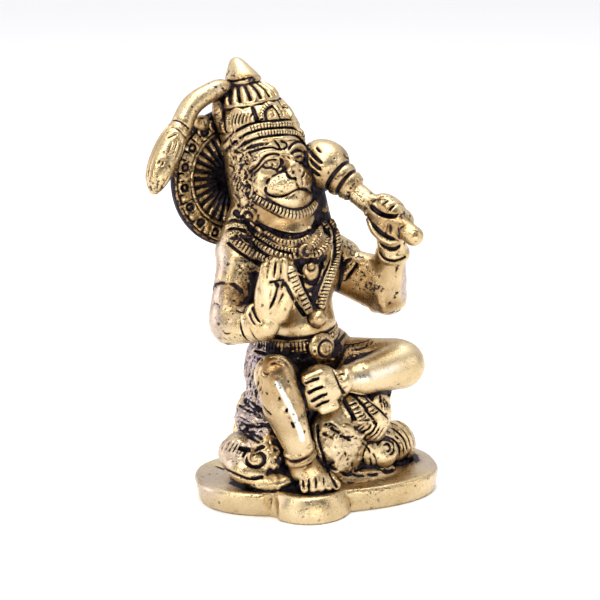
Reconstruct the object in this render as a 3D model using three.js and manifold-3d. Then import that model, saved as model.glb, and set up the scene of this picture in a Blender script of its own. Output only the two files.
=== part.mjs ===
// Small cast-brass idol: a seated monkey-faced guardian with a mace over his left
// shoulder, right hand raised in blessing, tail curling over a halo disc, on a rock
// seat with cloud scrolls, all cast in one with a lobed plinth.
// Millimetres, +Z up. The plinth's long side lies along X, the front faces -Y.
import * as THREE from "three";
import { mergeVertices } from "three/addons/utils/BufferGeometryUtils.js";
import { ConvexGeometry } from "three/addons/geometries/ConvexGeometry.js";
import Module from "manifold-3d";

// ---------------------------------------------------------------- driving sizes
const FIGURE_TURN = 12.5; // degrees the figure is turned on its plinth, towards its left
const PLINTH_HALF_WIDTH = 32.0;
const PLINTH_HALF_DEPTH = 17.6;
const PLINTH_CENTRE = [0.7, 1.4];
const PLINTH_TOP = 6.3;
const PLINTH_DRAFT = 1.0; // the rim leans in by this much from top to bottom at the ends
const LOBE_CENTRE = [-4.3, -9.6];
const LOBE_RADIUS = 10.4;
const LOBE_TOP = 6.9;
const HEAD_CENTRE = [-8.3, 6, 82.4];
const HEAD_TURN = [11, -10, -6]; // yaw, pitch, roll in degrees
const HALO_CENTRE = [-15.2, 17.0, 81.4];
const HALO_RADIUS = 17.6;
const HALO_YAW = 11;
const SHIFT = [4.6019, 0.1026]; // puts the bounding box's middle on the origin

// ---------------------------------------------------------------- solids
const wasm = await Module();
wasm.setup();

const V = (a) => new THREE.Vector3(a[0], a[1], a[2]);

function solid(geometry, matrix) {
  const g = geometry.index ? geometry.toNonIndexed() : geometry.clone();
  g.deleteAttribute("normal");
  g.deleteAttribute("uv");
  if (matrix) g.applyMatrix4(matrix);
  const m = mergeVertices(g, 1e-4);
  return new wasm.Manifold(
    new wasm.Mesh({
      numProp: 3,
      vertProperties: m.attributes.position.array,
      triVerts: new Uint32Array(m.index.array),
    }),
  );
}

// Turn by yaw about Z, roll about Y and pitch about X, in degrees.
function turn(yaw, pitch, roll) {
  const d = Math.PI / 180;
  return new THREE.Matrix4()
    .makeRotationZ(yaw * d)
    .multiply(new THREE.Matrix4().makeRotationY(roll * d))
    .multiply(new THREE.Matrix4().makeRotationX(pitch * d));
}
const moved = (at, rotation) =>
  new THREE.Matrix4().makeTranslation(at[0], at[1], at[2]).multiply(rotation || new THREE.Matrix4());

// Points +Z of a solid along a direction, keeping its X near the hint.
function aim(from, direction, hint = [1, 0, 0]) {
  const z = V(direction).normalize();
  const x = V(hint).addScaledVector(z, -V(hint).dot(z)).normalize();
  const y = new THREE.Vector3().crossVectors(z, x);
  return new THREE.Matrix4().makeBasis(x, y, z).setPosition(V(from));
}

// A solid of revolution about +Z from [radius, height] pairs, low to high.
function lathe(profile, sides = 12) {
  const g = new THREE.LatheGeometry(
    profile.map(([r, h]) => new THREE.Vector2(r, h)),
    sides,
  );
  g.rotateX(Math.PI / 2);
  return g;
}

// A limb: two round ends of their own radii and the cone between.
function limb(a, b, ra, rb, { sides = 12, rings = 3, flat = 1, hint } = {}) {
  const length = V(a).distanceTo(V(b));
  const tilt = Math.asin(Math.max(-0.95, Math.min(0.95, (ra - rb) / length)));
  const profile = [];
  for (let i = 0; i <= rings; i++) {
    const t = -Math.PI / 2 + (i / rings) * (Math.PI / 2 + tilt);
    profile.push([i === 0 ? 0 : ra * Math.cos(t), ra * Math.sin(t)]);
  }
  for (let i = 0; i <= rings; i++) {
    const t = tilt + (i / rings) * (Math.PI / 2 - tilt);
    profile.push([i === rings ? 0 : rb * Math.cos(t), length + rb * Math.sin(t)]);
  }
  const g = lathe(profile, sides);
  if (flat !== 1) g.scale(1, flat, 1);
  return solid(g, aim(a, V(b).sub(V(a)).toArray(), hint));
}

function ball(at, radii, { rotation, across = 14, up = 8 } = {}) {
  const g = new THREE.SphereGeometry(1, across, up);
  g.rotateX(Math.PI / 2);
  g.scale(radii[0], radii[1], radii[2]);
  return solid(g, moved(at, rotation));
}

function slab(at, size, rotation) {
  return solid(new THREE.BoxGeometry(size[0], size[1], size[2]), moved(at, rotation));
}

// A smooth tube through [x, y, z, radius] stations, closed by rounded ends.
function horn(stations, { steps = 14, sides = 8, flat = 1 } = {}) {
  const curve = new THREE.CatmullRomCurve3(stations.map((s) => V(s)));
  const { normals, binormals, tangents } = curve.computeFrenetFrames(steps, false);
  const radius = (t) => {
    const k = t * (stations.length - 1);
    const i = Math.min(stations.length - 2, Math.floor(k));
    return stations[i][3] + (stations[i + 1][3] - stations[i][3]) * (k - i);
  };
  const rings = [];
  for (let i = 0; i <= steps; i++) {
    const at = curve.getPoint(i / steps);
    const r = radius(i / steps);
    if (i === 0) rings.push([at.clone().addScaledVector(tangents[i], -0.7 * r), 0.62 * r, i]);
    rings.push([at, r, i]);
    if (i === steps) rings.push([at.clone().addScaledVector(tangents[i], 0.7 * r), 0.62 * r, i]);
  }
  const positions = [];
  const index = [];
  for (const [at, r, i] of rings)
    for (let k = 0; k < sides; k++) {
      const a = (k / sides) * 2 * Math.PI;
      const p = at
        .clone()
        .addScaledVector(normals[i], r * Math.cos(a))
        .addScaledVector(binormals[i], flat * r * Math.sin(a));
      positions.push(p.x, p.y, p.z);
    }
  const ends = [
    rings[0][0].clone().addScaledVector(tangents[0], -0.3 * rings[1][1]),
    rings.at(-1)[0].clone().addScaledVector(tangents[steps], 0.3 * rings.at(-2)[1]),
  ].map((p) => positions.push(p.x, p.y, p.z) / 3 - 1);
  for (let k = 0; k < sides; k++) {
    const n = (k + 1) % sides;
    index.push(ends[0], n, k);
    for (let r = 0; r + 1 < rings.length; r++) {
      const a = r * sides;
      const b = a + sides;
      index.push(a + k, a + n, b + n, a + k, b + n, b + k);
    }
    const last = (rings.length - 1) * sides;
    index.push(ends[1], last + k, last + n);
  }
  const g = new THREE.BufferGeometry();
  g.setAttribute("position", new THREE.Float32BufferAttribute(positions, 3));
  g.setIndex(index);
  return solid(g);
}

// A boulder: the hull of points scattered evenly on an ellipsoid, pushed in and out.
function boulder(at, radii, seed, { count = 34, rough = 0.12, rotation } = {}) {
  const points = [];
  for (let i = 0; i < count; i++) {
    const z = 1 - (2 * (i + 0.5)) / count;
    const phi = i * 2.399963 + seed;
    const r = Math.sqrt(1 - z * z);
    const k = 1 + rough * Math.sin(12.9898 * (i + seed) + 4.1 * Math.sin(78.233 * (i + seed)));
    points.push(new THREE.Vector3(k * r * Math.cos(phi) * radii[0], k * r * Math.sin(phi) * radii[1], k * z * radii[2]));
  }
  return solid(new ConvexGeometry(points), moved(at, rotation));
}

function joined(list) {
  return list.reduce((a, b) => a.add(b));
}

// ---------------------------------------------------------------- plinth
// Plan outline: a squarish oval; `inset` draws it in.
function ovalPoint(angle, inset) {
  const power = Math.cos(angle) > 0 ? 2.9 : 2.3;
  const c = Math.cos(angle);
  const s = Math.sin(angle);
  const k = (Math.abs(c) ** power + Math.abs(s) ** power) ** (-1 / power);
  return [PLINTH_CENTRE[0] + (PLINTH_HALF_WIDTH - inset) * k * c, PLINTH_CENTRE[1] + (PLINTH_HALF_DEPTH - inset) * k * s];
}

// A plate whose plan outline changes with height: rings of [z, inset].
function plate(outline, rings, sides) {
  const positions = [];
  const index = [];
  for (const [z, inset] of rings)
    for (let i = 0; i < sides; i++) {
      const [x, y] = outline((i / sides) * 2 * Math.PI, inset);
      positions.push(x, y, z);
    }
  const [cx, cy] = [0, 1].map((k) => {
    let sum = 0;
    for (let i = 0; i < sides; i++) sum += positions[3 * i + k];
    return sum / sides;
  });
  const low = positions.push(cx, cy, rings[0][0]) / 3 - 1;
  const high = positions.push(cx, cy, rings.at(-1)[0]) / 3 - 1;
  for (let i = 0; i < sides; i++) {
    const j = (i + 1) % sides;
    index.push(low, j, i);
    for (let r = 0; r + 1 < rings.length; r++) {
      const a = r * sides;
      index.push(a + i, a + j, a + sides + j, a + i, a + sides + j, a + sides + i);
    }
    const top = (rings.length - 1) * sides;
    index.push(high, top + i, top + j);
  }
  const g = new THREE.BufferGeometry();
  g.setAttribute("position", new THREE.Float32BufferAttribute(positions, 3));
  g.setIndex(index);
  return solid(g);
}

function plinth() {
  const oval = plate(
    ovalPoint,
    [
      [0, 0.7 + PLINTH_DRAFT],
      [0.4, 0.3 + PLINTH_DRAFT],
      [PLINTH_TOP - 0.9, 0.1],
      [PLINTH_TOP, 0.9],
    ],
    32,
  );
  const lobe = plate(
    (angle, inset) => [
      LOBE_CENTRE[0] + (LOBE_RADIUS + 0.8 - inset) * Math.cos(angle),
      LOBE_CENTRE[1] + (LOBE_RADIUS + 1.6 - inset) * Math.sin(angle),
    ],
    [
      [0, 0.4],
      [0.4, 0],
      [3.4, 0.5],
      [LOBE_TOP - 0.8, 2.1],
      [LOBE_TOP, 3.1],
    ],
    20,
  );
  // the two upright notches where the front lobe meets the wings
  const notches = [
    [-14.6, -16.6, 3.1],
    [7.2, -18.2, 2.3],
  ].map(([x, y, r]) => solid(lathe([[0, -1], [r, -1], [r, 9], [0, 9]], 12), moved([x, y, 0])));
  return joined([oval, lobe]).subtract(joined(notches));
}

// ---------------------------------------------------------------- figure
const COARSE = { sides: 8, rings: 2 };
const FINE = { sides: 6, rings: 1 };
const SMALL = { sides: 5, rings: 1 };

function body() {
  const band = (stations, steps) => horn(stations, { steps, sides: 4 });
  return [
    ball([-2.6, 3, 39], [12, 10, 7.6], { across: 9, up: 5 }), // hips
    limb([-3, 2.4, 42], [-3.2, 2.4, 52], 9.0, 8.2, { sides: 9, rings: 1 }), // waist
    ball([-4.6, 3, 58.5], [12.4, 8.6, 9.5], { across: 10, up: 6 }), // rib cage
    limb([-19, 5, 63.4], [9.6, 5.0, 60.4], 6.0, 5.4, COARSE), // shoulders
    limb([-5.6, 4.8, 62.5], [-7.6, 6.5, 75], 11.0, 8.2, COARSE), // neck
    limb([-20, 6.4, 65], [-16, 8.6, 74.5], 5.2, 3.6, FINE), // hair falling to the shoulder
    limb([-16, 4.6, 58], [-13.5, 4.6, 47], 4.8, 4.6, FINE), // web from the right arm to the side
    limb([-3, 2, 42.8], [-3, 2, 44.8], 9.9, 9.7, { sides: 9, rings: 1 }), // belt
    ball([-1.5, -8.0, 42.9], [3.6, 2.2, 3.6], { rotation: turn(12, -8, 0), across: 7, up: 4 }), // buckle
    // necklace, garland and its ball
    band([[-19.6, 2.0, 69.2, 1.4], [-14.6, -4.4, 65.6, 1.6], [-6.4, -7.4, 65.4, 1.6], [-0.4, -5.6, 67.0, 1.5], [3.6, -1.0, 71.2, 1.3]], 6),
    ball([-6.0, -8.0, 67.0], [2.0, 1.6, 2.0], { across: 6, up: 4 }),
    ball([-5.3, -7.6, 63.4], [2.2, 1.6, 3.0], { across: 6, up: 4 }),
    band([[-11.4, -5.2, 64.4, 1.5], [-8.2, -6.6, 58, 1.6], [-4.8, -7.2, 51.4, 1.5]], 2),
    band([[5.2, 0.4, 70.4, 1.5], [3.2, -5.2, 62.6, 1.6], [-2.4, -7.2, 52.4, 1.5]], 3),
    ball([-3.6, -8.0, 49.6], [2.5, 2.3, 2.5], { across: 7, up: 5 }),
  ];
}

function rightArm() {
  return [
    limb([-19.9, 4.4, 62.2], [-22.5, 1.6, 49.4], 5.3, 5.1, COARSE), // upper arm
    limb([-22.4, 1.2, 48.9], [-17.8, -8.2, 50.0], 5.1, 3.9, COARSE), // forearm
    limb([-20.6, 2.6, 56.6], [-20.9, 2.4, 55.6], 5.6, 5.6, { sides: 9, rings: 1 }), // armlet
    limb([-18.6, -6.6, 49.6], [-17.3, -9, 50.8], 4.6, 4.3, { sides: 9, rings: 1 }), // bracelets
    limb([-16.4, -10, 53.2], [-16.4, -10.8, 60], 3.9, 3.7, { ...COARSE, flat: 0.7, hint: [1, 0.15, 0] }), // palm
    limb([-14.4, -10, 53.0], [-12.2, -10.2, 58.6], 3.0, 2.1, FINE), // heel of the thumb
    limb([-17.8, -10.9, 58.6], [-17.0, -11.4, 65.0], 1.5, 1.1, SMALL),
    limb([-15.9, -11.2, 58.6], [-15.3, -11.8, 65.8], 1.5, 1.1, SMALL),
    limb([-14.1, -10.9, 58.6], [-13.8, -11.3, 64.8], 1.5, 1.1, SMALL),
    limb([-12.2, -10.2, 57.6], [-11.0, -10.2, 62.6], 1.9, 1.3, SMALL),
  ];
}

function leftArm() {
  return [
    limb([9.6, 4.2, 58.9], [19.6, -2.6, 51.7], 5.8, 5.1, COARSE), // upper arm
    limb([20.1, -3.2, 51.6], [18.2, -7, 62.8], 4.9, 3.8, COARSE), // forearm
    limb([18.2, -7, 62.9], [18.1, -7.1, 65.2], 4.1, 4.0, { sides: 9, rings: 1 }), // bracelet
    ball([15.4, -9.4, 72.2], [4.6, 5.6, 5.0], { rotation: turn(-40, 0, 35), across: 8, up: 5 }), // fist
    limb([13.2, -8.6, 73.0], [17.6, -9.4, 68.0], 3.4, 3.6, FINE),
    limb([16.4, -6.4, 75.6], [19.2, -11.6, 73.4], 2.4, 2.2, FINE),
  ];
}

function mace() {
  const head = [3.7, 4, 85.9];
  const knob = [19.6, -16.4, 69.8];
  const length = V(head).distanceTo(V(knob));
  const profile = [
    [0, -6.5],
    [4.2, -5.0],
    [6.3, -1.2],
    [6.2, 1.4],
    [4.0, 5.0],
    [4.5, 5.8],
    [4.4, 6.8],
    [3.4, 7.4],
    [4.0, 8.4],
    [3.0, 10.0],
    [2.4, 15],
    [2.4, length - 5],
    [2.9, length - 4],
    [2.9, length - 1],
    [0, length + 0.9],
  ];
  const place = aim(head, V(knob).sub(V(head)).toArray());
  return [solid(lathe(profile, 10), place)];
}

function rightLeg() {
  return [
    limb([-8.4, 1, 37.0], [-15.6, -9.6, 37.8], 7.4, 5.2, COARSE), // thigh
    limb([-15.8, -10.4, 37.8], [-14.0, -12.2, 29.4], 4.9, 5.3, COARSE), // shin
    limb([-14.0, -12.2, 29.4], [-9.6, -11.6, 17.4], 5.3, 3.4, COARSE),
    limb([-9.4, -11.5, 17.0], [-8.9, -11.3, 14.8], 4.1, 4.1, { sides: 8, rings: 1 }), // anklet
    limb([-7.8, -9.8, 11.6], [-6.6, -14.2, 9.6], 3.6, 3.8, COARSE), // foot
    ...[0, 1, 2, 3].map((i) =>
      limb([-8.8 + 1.7 * i, -13.4, 9.2], [-9.6 + 2.05 * i, -16.0 - 0.25 * i, 8.2], 1.2, 1.15 + 0.05 * i, SMALL),
    ),
    limb([-2.8, -12.8, 9.4], [-1.7, -16.4, 8.3], 1.7, 1.5, SMALL),
  ];
}

function leftLeg() {
  return [
    limb([4.8, 1.4, 35.8], [21.0, -5.6, 34.6], 6.8, 7.0, COARSE), // thigh
    limb([21.6, -6.8, 34.0], [8, -11.3, 33.4], 6.2, 4.6, COARSE), // shin folded back
    limb([8, -11.3, 33.4], [1.8, -12.4, 34.2], 4.6, 3.0, COARSE),
    limb([1.6, -12.4, 35.4], [2.4, -12.6, 31.6], 2.3, 2.3, FINE), // anklet
    limb([-1.6, -12.6, 33.4], [-6.0, -13.2, 33.8], 4.0, 3.2, COARSE), // foot
    limb([-2.4, -13, 31.6], [-3.4, -13.2, 29.6], 3.4, 2.4, FINE),
    ...[0, 1, 2, 3].map((i) =>
      limb([-4.6 + 0.9 * i, -14.0, 34.8 - 1.95 * i], [-6.8 + 1.0 * i, -14.6, 34.4 - 1.95 * i], 1.3, 1.1, SMALL),
    ),
  ];
}

function rock() {
  const pleats = [0, 1, 2].map((i) =>
    horn(
      [
        [5.2 + 3.0 * i, -9.8 - 0.2 * i, 28.8 + 0.3 * i, 1.5],
        [7.0 + 3.0 * i, -12.0 + 0.2 * i, 25.4 + 0.3 * i, 1.9],
        [9.2 + 2.8 * i, -11.0 + 0.6 * i, 21.4 + 0.5 * i, 1.2],
      ],
      { steps: 3, sides: 5 },
    ),
  );
  // a cloud scroll: a rounded knot whose face steps in, ring by ring, to its eye
  const scroll = (at, rotation, size) =>
    solid(
      lathe(
        [[0, -0.85], [0.95, -0.6], [1.12, -0.05], [0.96, 0.4], [0.78, 0.36], [0.66, 0.66], [0.46, 0.52], [0.28, 0.84], [0, 0.88]].map(
          ([r, h]) => [r * size, h * size],
        ),
        10,
      ),
      moved(at, rotation.multiply(new THREE.Matrix4().makeRotationX(Math.PI / 2))),
    );
  return [
    boulder([-0.6, 4.5, 27], [14.6, 12.0, 11.5], 1, { count: 22, rough: 0.06 }), // seat
    boulder([0, 3, 14], [17.6, 15, 12.5], 5, { count: 24, rough: 0.06 }), // foot of the rock
    boulder([-12.6, 5, 34.5], [5.0, 6.5, 8.5], 2, { count: 15 }),
    boulder([-14.4, 4, 24.6], [5.6, 7, 5.6], 3, { count: 15 }),
    boulder([3.4, -7.2, 15], [8.2, 6.6, 9.6], 4, { count: 20, rough: 0.09 }), // bare front face
    boulder([9.4, -6.6, 24.6], [7.2, 5.2, 6.6], 6, { count: 16, rough: 0.04 }), // cloth over the rock
    limb([-11, -1, 9], [-8.4, -4.6, 27], 6, 5.2, FINE),
    ball([-14.2, -4.4, 11.0], [6.2, 5.0, 5.0], { across: 7, up: 4 }),
    ...pleats,
    scroll([-20.2, 0.2, 14.0], turn(-28, 0, 0), 5.7),
    scroll([21.5, -3.8, 12.2], turn(14, 0, 0), 5.5),
    horn([[15, -3.6, 17.6, 1.6], [21.4, -3.8, 18.0, 1.8], [26.6, -1.8, 14.6, 1.9], [29.2, 0.6, 9.6, 1.9], [28.2, 1, 7, 1.8]], { steps: 5, sides: 5 }),
    ball([21.4, 3.4, 11.6], [8.4, 8, 7.0], { across: 8, up: 5 }),
  ];
}

// ---------------------------------------------------------------- head
function head() {
  const eye = (x) => [
    ball([4.4 * x, -6.0, 4.6], [2.6, 1.6, 1.3], { rotation: turn(14 * x, 0, 6 * x), across: 7, up: 4 }),
    horn([[7.6 * x, -4.6, 6.6, 0.8], [4.4 * x, -7.2, 8.2, 0.95], [1.2 * x, -7.6, 6.8, 0.9]], { steps: 3, sides: 5 }),
    ball([9.6 * x, 1.8, -5.6], [1.9, 2.5, 3.9], { across: 6, up: 4 }), // ear and earring
      ];
  const beard = [];
  for (let i = 0; i <= 8; i++) {
    const a = ((i - 4) / 4) * 1.4;
    beard.push([9.8 * Math.sin(a), 1.4 - 8.2 * Math.cos(a), 1.6 - 10.2 * Math.cos(a) ** 0.7, 1.15]);
  }
  const parts = [
    ball([0, 2.2, 2], [9.9, 9.4, 12.4], { across: 11, up: 7 }), // skull
    ball([0, -0.4, -5.0], [9.6, 7.4, 8.4], { across: 10, up: 6 }), // jaw
    ball([0, -5.2, -1.2], [7.2, 5.0, 3.6], { across: 8, up: 6 }), // muzzle
    ball([0, -4.6, -4.8], [4.8, 4.0, 2.6], { across: 7, up: 4 }), // lower lip
    limb([0, -6.2, 6.0], [0, -8.8, 2.2], 1.3, 1.8, SMALL), // nose
    horn(beard, { steps: 6, sides: 4 }),
    ...eye(-1),
    ...eye(1),
  ];
  // crown on a flat back: two bead bands, a tier of arched plaques, a fluted tier and a
  // finial; each row is [height, radius, depth of the plaques, depth of the flutes]
  const rows = [
    [8.0, 9.8, 0, 0],
    [10.6, 10.3, 0, 0],
    [11.5, 9.6, 0, 0],
    [13.2, 10.1, 0, 0],
    [14.0, 8.8, 0.3, 0],
    [17.0, 9.0, 0.7, 0],
    [19.9, 7.4, 0.3, 0.2],
    [20.6, 7.0, 0, 0.7],
    [23.2, 6.0, 0, 0.6],
    [25.4, 4.3, 0, 0.2],
    [26.5, 4.0, 0, 0],
    [27.4, 2.6, 0, 0],
    [31.2, 0.7, 0, 0],
  ];
  const crown = plate(
    (angle, [height, radius, plaque, flute]) => {
      const r = radius + plaque * Math.cos(6 * angle + Math.PI) + flute * Math.cos(10 * angle);
      return [r * Math.cos(angle), r * Math.sin(angle) + 0.2 + 0.27 * height];
    },
    rows.map((row) => [row[0], row]),
    20,
  );
  parts.push(crown);
  const whole = joined(parts);
  const cut = slab([0, 24.2, 8], [60, 30, 80]); // flat back
  const placed = moved(HEAD_CENTRE, turn(...HEAD_TURN));
  return [whole.subtract(cut).transform(placed.elements)];
}

// ---------------------------------------------------------------- halo and tail
function halo() {
  const profile = [
    [0, -1.2],
    [HALO_RADIUS - 0.2, -1.2],
    [HALO_RADIUS, 1.3],
    [HALO_RADIUS - 5.2, 1.6],
    [HALO_RADIUS - 5.9, 0.6],
    [0, 0.6],
  ];
  const place = moved(HALO_CENTRE, turn(HALO_YAW, -4, 0).multiply(new THREE.Matrix4().makeRotationX(Math.PI / 2)));
  const studs = [];
  for (let i = 0; i < 12; i++) {
    const a = ((i + 0.5) / 12) * 2 * Math.PI;
    studs.push(
      solid(
        lathe([[0, 0.6], [1.8, 0.6], [1.6, 2.3], [0, 2.3]], 4),
        new THREE.Matrix4().makeTranslation((HALO_RADIUS - 3) * Math.cos(a), (HALO_RADIUS - 3) * Math.sin(a), 0),
      ),
    );
  }
  return [
    joined([solid(lathe(profile, 22)), ...studs]).transform(place.elements),
    // web that ties the halo to the neck and shoulders
    limb([-11, 11.4, 65], [-10, 12.4, 80], 6.0, 6.0, COARSE),
    // web between the mace head, the cheek and the left shoulder
    limb([0.2, 5.6, 82], [2.2, 4.4, 68.4], 3.8, 4.6, COARSE),
    limb([2.8, 3.8, 66.6], [9.8, 4.4, 61.4], 4.2, 4.8, FINE),
  ];
}

function tail() {
  return [
    horn(
      [
        [-1, 10.5, 35, 4.4],
        [-1.6, 12.4, 46, 3.8],
        [-4, 14.2, 57, 3.4],
        [-8.2, 18.4, 69, 3.1],
        [-12, 20.6, 84, 2.7],
        [-14.2, 18.2, 98, 2.3],
        [-18.4, 14.6, 104.6, 2.1],
        [-23.6, 12.8, 103.7, 2.15],
        [-27.9, 11.8, 101.1, 2.3],
        [-31.2, 10, 96.9, 2.5],
      ],
      { steps: 11, sides: 7 },
    ),
    limb([-30.7, 10.2, 97.6], [-32.2, 9.4, 95.4], 2.8, 2.9, { sides: 9, rings: 1 }), // collar
    horn(
      [
        [-31.6, 9.8, 96.4, 2.4],
        [-34, 8.6, 93.6, 3.2],
        [-36.4, 7.4, 90.2, 3.4],
        [-38.8, 6.0, 86.2, 2.9],
        [-40.2, 4.9, 83.2, 1.4],
      ],
      { steps: 5, sides: 7 },
    ),
    // small ball at the top of the halo
    ball([-23.6, 13.6, 97.0], [1.9, 1.9, 1.9], { across: 8, up: 5 }),
  ];
}

// ---------------------------------------------------------------- assembly
const figure = joined([
  ...body(),
  ...rightArm(),
  ...leftArm(),
  ...mace(),
  ...rightLeg(),
  ...leftLeg(),
  ...rock(),
  ...head(),
  ...halo(),
  ...tail(),
]).transform(turn(FIGURE_TURN, 0, 0).elements);

const below = slab([0, 0, -50], [300, 300, 100]);
const casting = figure.subtract(below).add(plinth());

function toGeometry(manifold) {
  const mesh = manifold.getMesh();
  const g = new THREE.BufferGeometry();
  g.setAttribute("position", new THREE.BufferAttribute(new Float32Array(mesh.vertProperties), 3));
  g.setIndex(new THREE.BufferAttribute(new Uint32Array(mesh.triVerts), 1));
  g.computeVertexNormals();
  return g;
}

const brass = new THREE.MeshStandardMaterial({ color: 0xb08a4e, roughness: 0.36, metalness: 1 });
const idol = new THREE.Mesh(toGeometry(casting), brass);
idol.name = "hanuman_figure";
idol.position.set(SHIFT[0], SHIFT[1], 0);

const group = new THREE.Group();
group.add(idol);

export default group;
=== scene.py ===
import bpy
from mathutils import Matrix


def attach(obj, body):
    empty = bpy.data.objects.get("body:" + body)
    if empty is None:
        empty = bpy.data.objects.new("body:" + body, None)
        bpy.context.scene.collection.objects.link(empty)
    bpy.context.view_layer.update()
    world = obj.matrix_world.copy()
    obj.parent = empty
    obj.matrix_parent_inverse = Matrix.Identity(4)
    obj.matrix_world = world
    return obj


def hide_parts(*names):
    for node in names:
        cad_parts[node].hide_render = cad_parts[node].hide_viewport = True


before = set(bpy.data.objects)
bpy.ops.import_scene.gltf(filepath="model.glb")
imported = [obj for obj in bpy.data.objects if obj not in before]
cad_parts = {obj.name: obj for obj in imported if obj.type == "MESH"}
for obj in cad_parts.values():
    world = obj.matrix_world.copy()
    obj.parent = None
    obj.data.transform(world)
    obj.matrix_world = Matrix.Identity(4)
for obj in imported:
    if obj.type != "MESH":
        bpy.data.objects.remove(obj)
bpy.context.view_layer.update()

import bpy
from mathutils import Matrix, Vector

import math
import numpy as np

f32 = np.float32


# ------------------------------------------------------------------ field
# A signed-distance grid in millimetres. Shapes are (function, low, high) in the
# current local frame; each one is only worked out in its own part of the grid.
def unit(v):
    v = np.asarray(v, float)
    return v / np.linalg.norm(v)


def turned(yaw, pitch, roll):
    yaw, pitch, roll = np.radians([yaw, pitch, roll])
    cy, sy, cp, sp, cr, sr = np.cos(yaw), np.sin(yaw), np.cos(pitch), np.sin(pitch), np.cos(roll), np.sin(roll)
    rz = np.array([[cy, -sy, 0], [sy, cy, 0], [0, 0, 1]])
    rx = np.array([[1, 0, 0], [0, cp, -sp], [0, sp, cp]])
    ry = np.array([[cr, 0, sr], [0, 1, 0], [-sr, 0, cr]])
    return rz @ ry @ rx


def axes(z, xhint=(1, 0, 0)):
    z = unit(z)
    x = np.array(xhint, float)
    x = unit(x - z * (x @ z))
    return np.stack([x, np.cross(z, x), z], 1)


def smin(a, b, k):
    if k <= 0:
        return np.minimum(a, b)
    h = np.maximum(f32(k) - np.abs(a - b), 0) / f32(k)
    return np.minimum(a, b) - h * h * h * f32(k / 6.0)


class Field:
    def __init__(s, lo, hi, h, far=3.0):
        s.lo = np.array(lo, float)
        s.h = float(h)
        s.n = np.ceil((np.array(hi, float) - s.lo) / h).astype(int) + 1
        s.D = np.full(tuple(s.n), far, f32)
        s.K = np.zeros(tuple(s.n), f32)
        s.ax = [(s.lo[i] + h * np.arange(s.n[i])).astype(f32) for i in range(3)]
        s.F, s.O = np.eye(3), np.zeros(3)

    def frame(s, O=(0, 0, 0), F=None):
        s.O, s.F = np.array(O, float), (np.eye(3) if F is None else np.array(F, float))

    def world(s, p):
        return np.asarray(p, float) @ s.F.T + s.O

    def local(s, p):
        return (np.asarray(p, float) - s.O) @ s.F

    def op(s, shape, k=0.6, mode="add", pad=None, stain=None, soft=0.42):
        """stain is how much patina the cut keeps, fading over soft millimetres."""
        fn, lo, hi = shape
        pad = (max(k, 0.3) + 0.8) if pad is None else pad
        c = s.world([[x, y, z] for x in (lo[0], hi[0]) for y in (lo[1], hi[1]) for z in (lo[2], hi[2])])
        i0 = np.maximum(np.floor((c.min(0) - pad - s.lo) / s.h).astype(int), 0)
        i1 = np.minimum(np.ceil((c.max(0) + pad - s.lo) / s.h).astype(int) + 1, s.n)
        if (i1 <= i0).any():
            return
        sl = tuple(slice(a, b) for a, b in zip(i0, i1))
        X = (s.ax[0][sl[0]] - f32(s.O[0]))[:, None, None]
        Y = (s.ax[1][sl[1]] - f32(s.O[1]))[None, :, None]
        Z = (s.ax[2][sl[2]] - f32(s.O[2]))[None, None, :]
        F = s.F.astype(f32)
        P = [X * F[0, j] + Y * F[1, j] + Z * F[2, j] for j in range(3)]
        d = fn(*P).astype(f32)
        D = s.D[sl]
        if mode == "add":
            s.D[sl] = smin(D, d, k)
        elif mode == "cut":
            s.D[sl] = -smin(-D, d, k)
            stain = 1.0 if stain is None else stain
        elif mode == "keep":
            s.D[sl] = -smin(-D, -d, k)
        elif mode == "shift":
            s.D[sl] = D + d
        if stain:
            s.K[sl] = np.maximum(s.K[sl], f32(stain) * np.clip(1 - d / f32(soft), 0, 1))

    def add(s, shape, k=0.6):
        s.op(shape, k)

    def cut(s, shape, k=0.2, stain=1.0):
        s.op(shape, k, "cut", stain=stain)

    def stain(s, shape, much=1.0, soft=1.0):
        """Patina left inside a shape, without changing the form; a few calls use it to paint shade into the gaps
        between parts.
        """
        s.op(shape, 0, "none", pad=soft + 0.3, stain=much, soft=soft)

    def val(s, P):
        q = (np.atleast_2d(P) - s.lo) / s.h
        i = np.clip(np.floor(q).astype(int), 0, s.n - 2)
        t = np.clip(q - i, 0, 1)
        r = 0.0
        for a in (0, 1):
            for b in (0, 1):
                for c in (0, 1):
                    w = (t[:, 0] if a else 1 - t[:, 0]) * (t[:, 1] if b else 1 - t[:, 1]) * (t[:, 2] if c else 1 - t[:, 2])
                    r = r + w * s.D[i[:, 0] + a, i[:, 1] + b, i[:, 2] + c]
        return r

    def normal(s, P, e=None):
        e = e or 1.5 * s.h
        P = np.atleast_2d(P)
        g = np.stack([s.val(P + e * v) - s.val(P - e * v) for v in np.eye(3)], 1)
        return g / (np.linalg.norm(g, axis=1, keepdims=True) + 1e-9)

    def march(s, start, direction, reach=60.0):
        """First surface point along each ray; start outside."""
        P = np.atleast_2d(np.array(start, float)).copy()
        d = np.broadcast_to(np.asarray(direction, float), P.shape)
        d = d / np.linalg.norm(d, axis=1, keepdims=True)
        gone = np.zeros(len(P))
        done = np.zeros(len(P), bool)
        for _ in range(400):
            v = s.val(P)
            inside = ((P > s.lo) & (P < s.lo + s.h * (s.n - 1))).all(1)
            v = np.where(inside, v, 1.0)
            done |= v < 0.02
            step = np.where(done, 0, np.clip(v * 0.8, 0.05, 1.0))
            P += d * step[:, None]
            gone += step
            if done.all() or (gone > reach).all():
                break
        return P, done


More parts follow.
